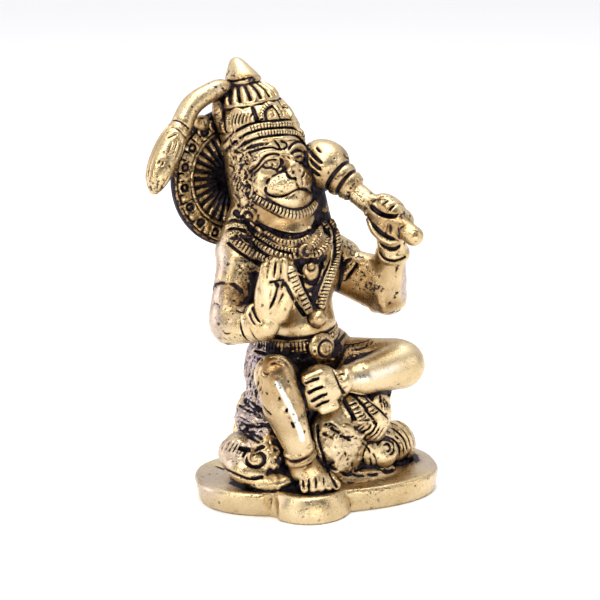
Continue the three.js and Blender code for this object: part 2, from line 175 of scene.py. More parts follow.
# ------------------------------------------------------------------ shapes
def ell(c, r, R=None):
    c, r = np.array(c, float), np.array(r, float)
    R = np.eye(3) if R is None else np.array(R, float)

    def fn(x, y, z):
        a, b, d, F = x - f32(c[0]), y - f32(c[1]), z - f32(c[2]), R.astype(f32)
        u = (a * F[0, 0] + b * F[1, 0] + d * F[2, 0]) / f32(r[0])
        v = (a * F[0, 1] + b * F[1, 1] + d * F[2, 1]) / f32(r[1])
        w = (a * F[0, 2] + b * F[1, 2] + d * F[2, 2]) / f32(r[2])
        k0 = np.sqrt(u * u + v * v + w * w)
        u, v, w = u / f32(r[0]), v / f32(r[1]), w / f32(r[2])
        return k0 * (k0 - 1) / (np.sqrt(u * u + v * v + w * w) + f32(1e-6))

    e = np.sqrt(((R * r) ** 2).sum(1))
    return fn, c - e, c + e


def cone(a, b, ra, rb):
    a, b = np.array(a, float), np.array(b, float)
    ba = b - a
    l2 = float(ba @ ba)
    rr = ra - rb
    if l2 <= rr * rr:
        c, r = (a, ra) if ra > rb else (b, rb)
        return ell(c, (r, r, r))
    a2, il2 = l2 - rr * rr, 1 / l2

    def fn(x, y, z):
        p0, p1, p2 = x - f32(a[0]), y - f32(a[1]), z - f32(a[2])
        yy = p0 * f32(ba[0]) + p1 * f32(ba[1]) + p2 * f32(ba[2])
        zz = yy - f32(l2)
        q = p0 * f32(l2) - f32(ba[0]) * yy
        x2 = q * q
        q = p1 * f32(l2) - f32(ba[1]) * yy
        x2 += q * q
        q = p2 * f32(l2) - f32(ba[2]) * yy
        x2 += q * q
        y2, z2 = yy * yy * f32(l2), zz * zz * f32(l2)
        k = f32(np.sign(rr) * rr * rr) * x2
        c1 = np.sign(zz) * f32(a2) * z2 > k
        c2 = np.sign(yy) * f32(a2) * y2 < k
        d = (np.sqrt(x2 * f32(a2 * il2)) + yy * f32(rr)) * f32(il2) - f32(ra)
        d = np.where(c2, np.sqrt(x2 + y2) * f32(il2) - f32(ra), d)
        return np.where(c1, np.sqrt(x2 + z2) * f32(il2) - f32(rb), d)

    m = max(ra, rb)
    return fn, np.minimum(a, b) - m, np.maximum(a, b) + m


def ball(c, r):
    return ell(c, (r, r, r))


def box(c, half, R=None, rd=0.3):
    c, hf = np.array(c, float), np.array(half, float)
    R = np.eye(3) if R is None else np.array(R, float)

    def fn(x, y, z):
        a, b, d, F = x - f32(c[0]), y - f32(c[1]), z - f32(c[2]), R.astype(f32)
        u = np.abs(a * F[0, 0] + b * F[1, 0] + d * F[2, 0]) - f32(hf[0] - rd)
        v = np.abs(a * F[0, 1] + b * F[1, 1] + d * F[2, 1]) - f32(hf[1] - rd)
        w = np.abs(a * F[0, 2] + b * F[1, 2] + d * F[2, 2]) - f32(hf[2] - rd)
        o = np.sqrt(np.maximum(u, 0) ** 2 + np.maximum(v, 0) ** 2 + np.maximum(w, 0) ** 2)
        return o + np.minimum(np.maximum(u, np.maximum(v, w)), 0) - f32(rd)

    e = (np.abs(R) * hf).sum(1)
    return fn, c - e, c + e


def ring(c, R, big, r, flat=1.0, arc=None):
    """A torus about the Z of R; flat scales the tube along that axis."""
    c = np.array(c, float)
    R = np.eye(3) if R is None else np.array(R, float)

    def fn(x, y, z):
        a, b, d, F = x - f32(c[0]), y - f32(c[1]), z - f32(c[2]), R.astype(f32)
        u = a * F[0, 0] + b * F[1, 0] + d * F[2, 0]
        v = a * F[0, 1] + b * F[1, 1] + d * F[2, 1]
        w = (a * F[0, 2] + b * F[1, 2] + d * F[2, 2]) / f32(flat)
        q = np.sqrt(u * u + v * v) - f32(big)
        return (np.sqrt(q * q + w * w) - f32(r)) * f32(min(1, flat))

    m = big + r * max(1, flat)
    return fn, c - m, c + m


def poly2(x, y, pts, axis=False):
    d = np.full(np.broadcast(x, y).shape, 1e9, f32)
    s = np.ones(d.shape, f32)
    n = len(pts)
    for i in range(n):
        (ax, ay), (bx, by) = pts[i], pts[(i + 1) % n]
        ex, ey = bx - ax, by - ay
        l2 = ex * ex + ey * ey
        if l2 < 1e-12:
            continue
        wx, wy = x - f32(ax), y - f32(ay)
        if not (axis and ax == 0 and bx == 0):
            t = np.clip((wx * f32(ex) + wy * f32(ey)) / f32(l2), 0, 1)
            dx, dy = wx - f32(ex) * t, wy - f32(ey) * t
            d = np.minimum(d, dx * dx + dy * dy)
        c1, c2, c3 = y >= f32(ay), y < f32(by), f32(ex) * wy > f32(ey) * wx
        flip = (c1 & c2 & c3) | (~c1 & ~c2 & ~c3)
        s = np.where(flip, -s, s)
    return s * np.sqrt(d)


def lathe(c, R, profile, rd=0.0, mod=None, lean=0.0):
    """Revolved about the Z of R; mod(angle, z) swells it; lean slides y with z."""
    c = np.array(c, float)
    R = np.eye(3) if R is None else np.array(R, float)
    pr = [(0.0, profile[0][1])] + [tuple(p) for p in profile] + [(0.0, profile[-1][1])]

    def fn(x, y, z):
        a, b, d, F = x - f32(c[0]), y - f32(c[1]), z - f32(c[2]), R.astype(f32)
        w = a * F[0, 2] + b * F[1, 2] + d * F[2, 2]
        u = a * F[0, 0] + b * F[1, 0] + d * F[2, 0]
        v = a * F[0, 1] + b * F[1, 1] + d * F[2, 1] - f32(lean) * w
        q = np.sqrt(u * u + v * v)
        r = poly2(q, w, pr, axis=True) - f32(rd)
        if mod is not None:
            r = r - mod(np.arctan2(v, u), w, q)
        return r

    m = max(p[0] for p in profile) + rd + 0.8
    zl, zh = profile[0][1] - rd, profile[-1][1] + rd
    zl, zh = min(zl, min(p[1] for p in profile)), max(zh, max(p[1] for p in profile))
    cc = np.array([[sx * m, sy * m + lean * zz, zz] for sx in (-1, 1) for sy in (-1, 1) for zz in (zl, zh)]) @ R.T + c
    return fn, cc.min(0), cc.max(0)


def _hash(i, j, k, seed):
    n = i.astype(np.uint32) * np.uint32(374761393) + j.astype(np.uint32) * np.uint32(668265263)
    n = n + k.astype(np.uint32) * np.uint32(2246822519) + np.uint32(seed * 144665 + 7)
    n = (n ^ (n >> np.uint32(13))) * np.uint32(1274126177)
    n = n ^ (n >> np.uint32(16))
    return n.astype(f32) * f32(2 / 4294967295.0) - f32(1)


def noise(x, y, z, size, seed=1):
    """Smooth value noise in -1..1 with features about `size` across."""
    x, y, z = np.broadcast_arrays(x, y, z)
    x, y, z = x / f32(size), y / f32(size), z / f32(size)
    i, j, k = np.floor(x), np.floor(y), np.floor(z)
    u, v, w = x - i, y - j, z - k
    i, j, k = i.astype(np.int64), j.astype(np.int64), k.astype(np.int64)
    u, v, w = u * u * (3 - 2 * u), v * v * (3 - 2 * v), w * w * (3 - 2 * w)
    r = 0
    for a in (0, 1):
        for b in (0, 1):
            for c in (0, 1):
                r = r + _hash(i + a, j + b, k + c, seed) * (u if a else 1 - u) * (v if b else 1 - v) * (w if c else 1 - w)
    return r


# ------------------------------------------------------------------ paths
def spline(points, spacing=0.5):
    """A Catmull-Rom curve through the points (any width), at an even spacing in x, y, z."""
    P = np.array(points, float)
    if len(P) == 2:
        fine = P[0] + (P[1] - P[0]) * np.linspace(0, 1, 40)[:, None]
    else:
        Q = np.vstack([2 * P[0] - P[1], P, 2 * P[-1] - P[-2]])
        out = []
        for i in range(1, len(Q) - 2):
            t = np.linspace(0, 1, 24, endpoint=False)[:, None]
            a, b, c, d = Q[i - 1], Q[i], Q[i + 1], Q[i + 2]
            out.append(0.5 * (2 * b + (c - a) * t + (2 * a - 5 * b + 4 * c - d) * t * t + (3 * b - a - 3 * c + d) * t ** 3))
        fine = np.vstack(out + [P[-1:]])
    n = min(3, P.shape[1])
    s = np.concatenate([[0], np.cumsum(np.linalg.norm(np.diff(fine[:, :n], axis=0), axis=1))])
    m = max(2, int(round(s[-1] / spacing)) + 1)
    return np.stack([np.interp(np.linspace(0, s[-1], m), s, fine[:, i]) for i in range(P.shape[1])], 1)


# ------------------------------------------------------------------ figure
# All sizes in millimetres, as in the CAD: the figure's own frame, turned a little on its plinth.
FIGURE_TURN = 12.5
SHIFT = (4.6019, 0.1026, 0.0)
TOP = 112.55
RZ = turned(FIGURE_TURN, 0, 0)
HEAD_CENTRE = (-8.3, 6.0, 82.4)
HEAD_TURN = (11.0, -10.0, -6.0)
HALO_CENTRE = (-15.7, 17.0, 81.8)
HALO_YAW = 11.0

# The photograph's camera, in the row frame.
CAM_AZ, CAM_EL, CAM_D = -11.5, 15.0, 430.0
CAM_TARGET = np.array([-1.097, -8.843, 54.6])
CAM_FOCAL = 1741.5


def camera_axes():
    a, e = math.radians(CAM_AZ), math.radians(CAM_EL)
    back = np.array([math.sin(a) * math.cos(e), -math.cos(a) * math.cos(e), math.sin(e)])
    right = np.array([math.cos(a), math.sin(a), 0.0])
    return right, np.cross(back, right), back


class Figure:
    def __init__(s, h):
        s.g = Field((-37.9, -22.3, -0.9), (37.9, 22.3, 113.5), h)
        s.h = h
        s.strokes = []
        s.flecks = []
        s.worn = []
        s.cleaned = []
        s.browned = []
        s.ashen = []
        s.ink = 1.0
        s.figure()

    # frames
    def plinth_frame(s):
        s.g.frame(SHIFT)

    def figure(s):
        s.g.frame(SHIFT, RZ)

    def head(s):
        s.g.frame(np.array(SHIFT) + RZ @ np.array(HEAD_CENTRE), RZ @ turned(*HEAD_TURN))

    def halo(s):
        # local z points forward out of the disc, x across, y up
        R = turned(HALO_YAW, -4, 0) @ np.array([[1, 0, 0], [0, 0, -1], [0, 1, 0]])
        s.g.frame(np.array(SHIFT) + RZ @ np.array(HALO_CENTRE), RZ @ R)

    # where a drawn point meets the surface: world points and normals
    def front(s, pts, y0=-30.0):
        pts = np.atleast_2d(pts)
        P = s.g.world(np.stack([pts[:, 0], np.full(len(pts), y0), pts[:, 1]], 1))
        Q, ok = s.g.march(P, s.g.F @ np.array([0, 1.0, 0]))
        return s.g.local(Q), s.g.normal(Q) @ s.g.F, ok

    def wrap(s, pts, axis=(0.0, 0.0), R=22.0, lean=0.0):
        """pts are (degrees from the front, height); axis is where the upright through (x, y) stands."""
        pts = np.atleast_2d(pts)
        a = np.radians(pts[:, 0])
        d = np.stack([np.sin(a), -np.cos(a), np.zeros(len(a))], 1)
        c = np.stack([np.full(len(a), axis[0]), axis[1] + lean * pts[:, 1], pts[:, 1]], 1)
        Q, ok = s.g.march(s.g.world(c + d * R), (-d) @ s.g.F.T)
        return s.g.local(Q), s.g.normal(Q) @ s.g.F, ok

    def seen(s, pts):
        """pts are places in the photograph's frame of 600 x 600."""
        pts = np.atleast_2d(np.array(pts, float))
        right, up, back = camera_axes()
        d = right * ((pts[:, :1] - 300) / CAM_FOCAL) + up * ((300 - pts[:, 1:2]) / CAM_FOCAL) - back
        d = d / np.linalg.norm(d, axis=1, keepdims=True)
        C = CAM_TARGET + CAM_D * back
        Q, ok = s.g.march(C + d * (CAM_D - 45.0), d, reach=95)
        return s.g.local(Q), s.g.normal(Q) @ s.g.F, ok

    # adding and cutting
    def ell(s, c, r, R=None, k=0.6):
        s.g.add(ell(c, r, R), k)

    def limb(s, a, b, ra, rb, k=0.8):
        s.g.add(cone(a, b, ra, rb), k)

    def chain(s, P, r, k=0.3, mode="add"):
        r = np.broadcast_to(np.asarray(r, float), (len(P),))
        for i in range(len(P) - 1):
            s.g.op(cone(P[i], P[i + 1], r[i], r[i + 1]), k, mode)

    def ridge(s, hit, r=0.5, rise=None, k=0.25, taper=False):
        """A raised line on the surface, r wide each way and rise proud of it."""
        P, N, ok = hit
        rise = r * 0.7 if rise is None else rise
        rr = np.full(len(P), float(r))
        if taper:
            t = np.linspace(0, 1, len(P))
            rr = r * np.clip(np.minimum(t, 1 - t) * 6, 0.25, 1)
        Q = P + N * (rise - rr)[:, None]
        for i in range(len(P) - 1):
            if ok[i] and ok[i + 1] and np.linalg.norm(Q[i + 1] - Q[i]) < 3:
                s.g.op(cone(Q[i], Q[i + 1], rr[i], rr[i + 1]), k, "add")

    def groove(s, hit, r=0.35, depth=None, k=0.12, taper=False):
        P, N, ok = hit
        depth = r * 1.2 if depth is None else depth
        rr = np.full(len(P), float(r))
        dd = np.full(len(P), float(depth))
        if taper:
            t = np.linspace(0, 1, len(P))
            f = np.clip(np.minimum(t, 1 - t) * 5, 0.3, 1)
            rr, dd = rr * f, dd * f
        Q = P + N * (rr - dd)[:, None]
        for i in range(len(P) - 1):
            if ok[i] and ok[i + 1] and np.linalg.norm(Q[i + 1] - Q[i]) < 3:
                s.g.op(cone(Q[i], Q[i + 1], rr[i], rr[i + 1]), k, "cut", stain=s.ink, soft=0.42 if s.ink <= 1.0 else 0.32)

    def hatch(s, hit, width, pitch=0.9, r=0.2, depth=0.4, slant=0.0, k=0.08, lift=0.0):
        """Short cuts across a drawn line. lift raises them, for a line drawn before its ridge."""
        P, N, ok = hit
        d = np.linalg.norm(np.diff(P, axis=0), axis=1)
        L = np.concatenate([[0], np.cumsum(d)])
        n = max(1, int(L[-1] / pitch))
        s.strokes.append((s.g.world(P), N @ s.g.F.T, np.array(ok), L / L[-1] * n, width, slant / pitch))
        for t in (np.arange(n) + 0.5) * L[-1] / n:
            i = min(np.searchsorted(L, t, side="right") - 1, len(P) - 2)
            if not (ok[i] and ok[i + 1]):
                continue
            f = (t - L[i]) / (d[i] + 1e-9)
            p, nn = P[i] + (P[i + 1] - P[i]) * f, unit(N[i] + (N[i + 1] - N[i]) * f)
            tt = unit(P[i + 1] - P[i])
            b = unit(np.cross(nn, tt)) + slant * tt
            c = p + nn * (lift + r - depth)
            s.g.op(cone(c - b * width / 2, c + b * width / 2, r, r), k, "cut", stain=0.35, soft=0.3)

    def beads(s, hit, r=0.5, pitch=1.05, rise=0.25, k=0.12):
        P, N, ok = hit
        d = np.linalg.norm(np.diff(P, axis=0), axis=1)
        L = np.concatenate([[0], np.cumsum(d)])
        n = max(1, int(L[-1] / pitch))
        for t in (np.arange(n) + 0.5) * L[-1] / n:
            i = min(np.searchsorted(L, t, side="right") - 1, len(P) - 2)
            if not (ok[i] and ok[i + 1]):
                continue
            f = (t - L[i]) / (d[i] + 1e-9)
            p, nn = P[i] + (P[i + 1] - P[i]) * f, unit(N[i] + (N[i + 1] - N[i]) * f)
            s.g.add(ball(p + nn * (rise - r * 0.3), r), k)

    def fleck(s, c, r, R=None, much=1.0, soft=1.0):
        """Marks a place whose skin keeps fine black specks."""
        s.flecks.append((ell(c, r, R)[0], s.g.O.copy(), s.g.F.copy(), much, soft))

    def brown(s, c, r, R=None, much=1.0, soft=1.5):
        """A brown place: tarnish, and in many places painted shade on undersides and in recesses."""
        s.browned.append((ell(c, r, R)[0], s.g.O.copy(), s.g.F.copy(), much, soft))

    def ash(s, c, r, R=None, much=1.0, soft=1.5):
        """A place with a grey, slightly violet tint: bloom on the stone, and painted reflection on edges turned to the
        side lights.
        """
        s.ashen.append((ell(c, r, R)[0], s.g.O.copy(), s.g.F.copy(), much, soft))

    def clean(s, c, r, R=None, much=1.0, soft=1.5):
        """A sheltered place the polish still reached."""
        s.cleaned.append((ell(c, r, R)[0], s.g.O.copy(), s.g.F.copy(), much, soft))

    def paint_highlight(s, hit, r, much=1.0, soft=0.25):
        """A painted highlight: metal coloured near white along a drawn line, standing in for the light it catches."""
        s.worn.append((s.g.world(hit[0]), np.array(hit[2]), r, much, soft))

    def pits(s, hit, r=0.3, depth=0.3):
        P, N, ok = hit
        for p, n, o in zip(P, N, ok):
            if o:
                s.g.op(ball(p + n * (r - depth), r), 0.08, "cut")

    def rough(s, c, r, R=None, amp=0.35, size=0.8, seed=3, bias=0.0, soft=1.0):
        """Breaks up the surface inside an ellipsoid, fading at its edge."""
        fe, lo, hi = ell(c, r, R)

        def fn(x, y, z):
            m = np.clip(-fe(x, y, z) / f32(soft), 0, 1)
            n = noise(x, y, z, size, seed) + 0.5 * noise(x, y, z, size * 0.53, seed + 5)
            return m * f32(amp) * (n + f32(bias))

        s.g.op((fn, lo, hi), 0, "shift", pad=0.0)


# ---- the plinth
def make_plinth(s):
    g = s.g
    s.plinth_frame()
    cx, cy, A, B = 0.7, 1.4, 32.0, 17.6

    def plate(x, y, z):
        x, y = x - f32(cx), y - f32(cy)
        n = np.where(x > 0, np.where(y > 0, f32(2.9), f32(2.3)), np.where(y > 0, f32(2.55), f32(2.45)))
        inset = np.interp(z, [-1, 0, 0.5, 5.2, 6.3, 9], [1.5, 1.1, 0.7, 0.0, 0.35, 0.6]).astype(f32)
        a, b = f32(A) + np.where(x > 0, f32(0.35) - inset, f32(-0.3) - inset * f32(1.5)), f32(B) - inset
        u, v = np.abs(x) / a + f32(1e-6), np.abs(y) / b + f32(1e-6)
        q = u ** n + v ** n
        F = q ** (1 / n)
        gx, gy = F / q * u ** (n - 1) / a, F / q * v ** (n - 1) / b
        side = (F - 1) / np.sqrt(gx * gx + gy * gy + f32(1e-9))
        return round_max(round_max(side, z - f32(6.3), 1.3), -z, 0.5)

    g.add((plate, np.array([cx - A, cy - B, 0]), np.array([cx + A + 0.4, cy + B, 6.3])), 0)
    # painted reflection: violet tint on both ends of the plate; brown over the plate's top near the rock, partly
    # tarnish and partly painted shade
    s.ash((-28, 0, 5.0), (8.0, 9.0, 3.0), much=0.5, soft=3.0)
    s.ash((31, 2, 4.0), (6.0, 10.0, 4.0), much=0.6, soft=3.0)
    s.brown((4, -4, 6.6), (24, 12.0, 1.0), much=0.35, soft=2.0)

    lx, ly, L = -4.0, -9.7, 11.5

    def lobe(x, y, z):
        x, y = x - f32(lx), y - f32(ly)
        inset = np.interp(z, [-1, 0, 0.5, 3.4, 6.1, 6.9, 9], [0.9, 0.5, 0.1, 0.3, 1.3, 1.7, 2.6]).astype(f32)
        a, b = f32(L) - inset, f32(12.3) - inset
        k0 = np.sqrt((x / a) ** 2 + (y / b) ** 2) + f32(1e-6)
        k1 = np.sqrt((x / a / a) ** 2 + (y / b / b) ** 2) + f32(1e-6)
        return round_max(round_max(k0 * (k0 - 1) / k1, z - f32(6.75), 1.5), -z, 0.5)

    g.add((lobe, np.array([lx - L, ly - 12.2, 0]), np.array([lx + L, ly + 12.2, 6.9])), 0.5)
    # the clefts either side of the lobe
    for x, y, r, top in ((-15.4, -16.3, 2.5, 6.9), (7.6, -18.1, 2.4, 6.9), (10.6, -17.2, 1.5, 5.6)):
        g.op(cone((x, y - 0.4, -2), (x + (0.6 if x < 0 else -0.3), y + 0.3, top), r, r * 0.86), 0.7, "cut", stain=0.5, soft=0.8)
    # foot of the rock, spreading on to the plate
    s.ell((0.5, 1.0, 5.6), (23.5, 12.5, 2.6), k=2.0)
    s.ell((-6, -7.5, 5.8), (9.5, 6.5, 2.0), k=1.5)


def round_max(a, b, k):
    h = np.maximum(f32(k) - np.abs(a - b), 0) / f32(k)
    return np.maximum(a, b) + h * h * h * f32(k / 6.0)


def boulder(s, c, r, seed, k=1.2, amp=0.5, size=4.0, R=None):
    fe, lo, hi = ell(c, r, R)

    def fn(x, y, z):
        n = noise(x, y, z, size, seed) + 0.55 * noise(x, y, z, size * 0.45, seed + 1) + 0.3 * noise(x, y, z, size * 0.2, seed + 2)
        return fe(x, y, z) + f32(amp) * n

    s.g.add((fn, lo - 0.8, hi + 0.8), k)


# ---- the rock, its cloud scrolls and the dhoti's folds
def make_rock(s):
    s.figure()
    boulder(s, (-0.6, 5.2, 25.5), (14.2, 11.4, 12.5), 11)
    boulder(s, (0, 3.6, 13), (17.8, 13.8, 12.5), 12)
    boulder(s, (-12.0, 5.0, 33.4), (4.9, 6.4, 9.8), 13, k=2.0, amp=0.25, size=3.2)
    boulder(s, (-11.6, 5.0, 27.0), (4.6, 6.4, 7.0), 25, k=1.5, amp=0.25, size=3.2)
    boulder(s, (-13.6, 3.6, 22.2), (5.8, 6.6, 2.4), 14, k=0.5, amp=0.35, size=2.8)
    boulder(s, (-13.6, 3.6, 18.8), (5.9, 6.8, 2.7), 24, k=0.4, amp=0.3, size=2.4)
    boulder(s, (-14.5, -1.6, 13.5), (6.2, 6.6, 7.5), 15, amp=0.6, size=3.0)
    boulder(s, (-8.4, -3.0, 16.5), (5.0, 5.6, 12.5), 16, amp=0.45, size=2.6)
    # bright hammered face below the left foot
    boulder(s, (2.4, -6.4, 15.2), (8.6, 6.6, 11.2), 17, k=1.0, amp=0.3, size=3.2)
    boulder(s, (12.5, -3.2, 12.5), (9.4, 7.6, 8.5), 18, amp=0.25, size=3.2)
    boulder(s, (19.4, 3.6, 10.2), (8.2, 8.0, 6.6), 19, amp=0.5, size=3.6)
    # cloth over the rock, under the folded leg
    s.ell((9.6, -7.4, 24.4), (7.8, 4.6, 6.8), k=0.8)
    s.ell((11.3, -7.0, 22.4), (6.9, 5.0, 7.6), turned(0, 0, -10), k=1.0)
    s.ell((12.9, -7.0, 27.4), (5.2, 4.2, 4.4), k=1.0)
    s.limb((7.0, -8.0, 21.0), (13.0, -8.4, 18.0), 3.8, 3.0, k=0.8)
    boulder(s, (-12.5, -6.5, 8.2), (8.4, 4.8, 2.9), 20, amp=0.3, size=2.4)
    s.ell((8.5, -8.0, 6.9), (10.5, 4.8, 2.2), k=1.2)
    s.clean((9.5, -10.0, 7.0), (13.0, 6.0, 1.8), much=0.85, soft=1.6)
    s.clean((-1.5, -10.5, 13.0), (3.6, 3.6, 8.0), much=0.9, soft=1.6)
    # painted shade in brown on the strip of plate in front of the rock
    s.brown((9.5, -10.0, 7.0), (13.0, 6.0, 2.0), much=0.45, soft=1.6)
    # behind, plain lumps
    boulder(s, (6, 11.2, 19.5), (9.5, 6.8, 12.5), 22, amp=0.6, size=4.0)
    boulder(s, (-9, 10.5, 17.5), (9.0, 6.2, 11.0), 23, amp=0.6, size=4.0)
    # left scroll: a lying pebble whose end curls into an eye
    s.ell((-19.4, -3.4, 10.4), (6.4, 4.8, 4.0), turned(-25, 0, 18), k=0.6)
    boulder(s, (-20.6, 0.8, 13.5), (5.3, 5.4, 5.6), 31, k=0.7, amp=0.35, size=3.0)
    # right scroll: leaning tongue of cloud
    s.ell((20.4, -3.6, 12.2), (6.2, 4.6, 5.6), turned(10, 0, -20), k=0.7)
    s.ell((25.0, 0.2, 9.8), (3.9, 5.0, 5.4), k=0.7)


def make_body(s):
    g = s.g
    s.figure()
    # hips, waist and chest
    s.ell((-2.6, 3.0, 38.6), (12.2, 10.2, 7.8), k=1.2)
    s.limb((-3.0, 2.4, 42.0), (-3.2, 2.4, 52.0), 9.1, 8.3, k=1.5)
    s.ell((-4.6, 3.0, 58.5), (12.4, 8.7, 9.5), k=2.0)
    s.limb((-18.4, 5.0, 63.0), (9.4, 5.0, 60.0), 5.8, 5.2, k=2.0)
    s.limb((-5.6, 4.8, 62.5), (-7.6, 6.3, 75.0), 10.6, 8.2, k=2.0)
    s.ell((-5.4, 0.6, 65.4), (10.2, 7.4, 6.2), k=2.0)
    s.limb((-19.2, 6.4, 64.8), (-15.8, 8.6, 74.5), 5.0, 3.6, k=0.8)
    s.ell((7.4, 3.0, 40.4), (2.9, 4.4, 2.4), k=2.5)
    s.limb((-16.0, 4.8, 58.0), (-13.5, 5.0, 47.0), 4.8, 4.6, k=1.2)
    # belly, soft
    s.ell((-3.2, -2.0, 46.6), (7.6, 5.6, 5.4), k=2.0)


def make_right_arm(s):
    s.figure()
    s.limb((-19.4, 4.4, 61.6), (-22.4, 2.0, 50.6), 5.1, 5.15, k=1.0)
    s.ell((-22.6, 1.6, 48.6), (5.2, 5.4, 6.0), k=1.0)
    s.limb((-22.3, 0.8, 48.2), (-17.8, -8.2, 49.8), 5.4, 4.3, k=0.8)
    # palm, thenar and wrist
    s.ell((-16.6, -10.0, 57.0), (4.1, 2.9, 7.4), turned(6, 0, 4), k=0.7)
    s.ell((-15.6, -10.2, 60.6), (3.9, 2.4, 5.8), turned(6, 0, 2), k=0.6)
    for a, b, ra, rb in (
        ((-18.7, -10.6, 59.0), (-18.2, -11.3, 65.0), 1.7, 1.25),
        ((-16.4, -11.2, 59.4), (-16.1, -11.9, 66.0), 1.7, 1.3),
        ((-14.1, -11.2, 59.2), (-13.9, -11.8, 65.8), 1.7, 1.25),
    ):
        s.limb(a, b, ra, rb, k=0.7)
    s.limb((-14.8, -9.6, 52.6), (-12.0, -10.4, 58.0), 3.1, 2.6, k=0.8)
    s.limb((-12.0, -10.6, 58.0), (-11.4, -10.8, 63.4), 2.5, 1.4, k=0.6)


def make_left_arm(s):
    s.figure()
    s.limb((9.4, 4.2, 57.65), (19.2, -2.6, 51.7), 5.6, 5.1, k=1.4)
    s.limb((19.0, -3.2, 51.8), (17.9, -7.0, 62.8), 4.6, 3.7, k=0.9)
    s.g.add(box((17.7, -4.2, 52.8), (4.2, 3.6, 4.5), turned(8, -12, -8), rd=1.6), 0.7)
    # the flat between them, in the crook of the arm
    s.limb((12.6, 0.9, 58.4), (17.2, -4.0, 58.2), 4.7, 4.3, k=2.6)
    s.limb((15.0, -1.0, 55.2), (17.8, -4.2, 55.8), 5.0, 4.8, k=2.6)


MACE_HEAD = np.array([4.1, 4.0, 85.6])
MACE_KNOB = np.array([19.6, -16.4, 69.8])


def make_mace(s):
    g = s.g
    s.figure()
    axis = MACE_KNOB - MACE_HEAD
    L = float(np.linalg.norm(axis))
    R = axes(axis, (0, 0, 1))
    prof = [tuple(p) for p in spline([(0.05, -6.5), (2.4, -6.15), (4.5, -4.8), (5.9, -2.4), (6.45, 0.2), (6.1, 2.6), (4.9, 4.4), (3.8, 5.6)], 0.5)]
    g.add(lathe(MACE_HEAD, R, prof, rd=0.05), 0.4)
    # a cup of two bands on the neck
    cup = [tuple(p) for p in spline([(3.9, 4.6), (4.5, 5.4), (4.45, 6.6), (4.0, 7.5), (3.8, 7.8), (3.95, 8.6), (3.6, 9.8), (3.2, 10.5), (2.4, 10.7)], 0.4)]
    g.add(lathe(MACE_HEAD, R, cup, rd=0.05), 0.2)
    sag = np.array([-0.25, 0.0, -0.5])
    s.limb(MACE_HEAD + R[:, 2] * 8 + sag * 0.6, MACE_HEAD + R[:, 2] * (L - 9) + sag, 2.75, 2.7, k=0.5)
    s.limb(MACE_HEAD + R[:, 2] * (L - 9) + sag, MACE_HEAD + R[:, 2] * (L - 5), 2.7, 2.3, k=0.5)
    s.limb(MACE_HEAD + R[:, 2] * (L - 8), MACE_HEAD + R[:, 2] * (L - 3), 2.3, 2.35, k=0.35)
    s.limb(MACE_HEAD + R[:, 2] * (L - 5.0), MACE_HEAD + R[:, 2] * (L - 0.5), 2.3, 2.5, k=0.15)
    g.op(ring(MACE_HEAD + R[:, 2] * (L - 3.6), R, 2.75, 0.34), 0.08, "cut")
    for z, q, r in ((5.0, 4.7, 0.5), (7.75, 4.05, 0.5), (10.9, 3.15, 0.34)):
        g.op(ring(MACE_HEAD + R[:, 2] * z, R, q, r), 0.08, "cut", stain=1.8, soft=0.36)
    for i in range(15):
        a = 2 * math.pi * i / 15
        d = R[:, 0] * math.cos(a) + R[:, 1] * math.sin(a)
        g.op(ball(MACE_HEAD + R[:, 2] * 10.35 + d * 3.35, 0.42), 0.08, "cut", stain=1.8, soft=0.3)
    # petal grooves from the neck on to the bulb, worn away on top
    toward = RZ.T @ camera_axes()[2]
    for i in range(16):
        a = 2 * math.pi * i / 16
        d = R[:, 0] * math.cos(a) + R[:, 1] * math.sin(a)
        if d @ toward > -0.15:
            continue
        P = np.array([MACE_HEAD + R[:, 2] * w + d * q for w, q in ((4.6, 4.6), (3.2, 5.45), (1.6, 6.2), (0.4, 6.55))])
        s.chain(P, [0.5, 0.5, 0.42, 0.24], k=0.15, mode="cut")
    C = lambda pts: s.seen(spline(np.array(pts, float), 1.3))
    for pts, r in (([(315.6, 146.4), (318, 149.6), (321, 152.6)], 0.3), ([(309, 149), (312.4, 155.0), (317.6, 159.8), (323.6, 164.6)], 0.46), ([(309.5, 159), (312.6, 163.6), (317.6, 167.8), (322, 171)], 0.46),
                   ([(311, 169), (315, 173), (320.5, 176.6)], 0.42), ([(343.4, 153.6), (346.4, 157), (351.4, 159)], 0.3), ([(337, 152), (338, 155)], 0.2), ([(333, 158.6), (336, 158.2)], 0.26)):
        s.groove(C(pts), r, r * 1.8, taper=True)
    s.fist_axis = (R, L)
    # brown on the shaft's lower front and the bulb's darker cheek, partly tarnish and partly painted shade; flecks on
    # its far side
    for t in (0.5, 0.62, 0.74):
        s.brown(MACE_HEAD + axis * t + np.array([0, -2.0, -1.0]), (3.4, 3.4, 3.0), much=0.62, soft=1.4)
    for q, r, much in (((312, 164), (1.6, 4.0, 4.4), 0.8), ((320, 178), (3.4, 4.0, 1.8), 0.8), ((347, 158), (2.6, 4.0, 4.4), 0.95), ((352, 180), (3.0, 4.0, 2.4), 0.8), ((338, 182), (4.0, 4.0, 2.4), 0.9), ((333, 172), (3.4, 4.0, 1.6), 0.7)):
        P, N, ok = s.seen([q])
        s.brown(P[0], r, much=much * 0.7, soft=1.2)
        s.fleck(P[0], r, much=much * 0.4, soft=1.0)
    for q, r, much in (((338, 170), (4.0, 4.0, 2.0), 0.6), ((346, 181), (3.4, 4.0, 2.2), 0.55), ((360, 200), (5.0, 4.0, 3.0), 0.5), ((352, 196), (4.0, 4.0, 1.4), 0.7)):
        P, N, ok = s.seen([q])
        s.fleck(P[0], r, much=much, soft=0.8)


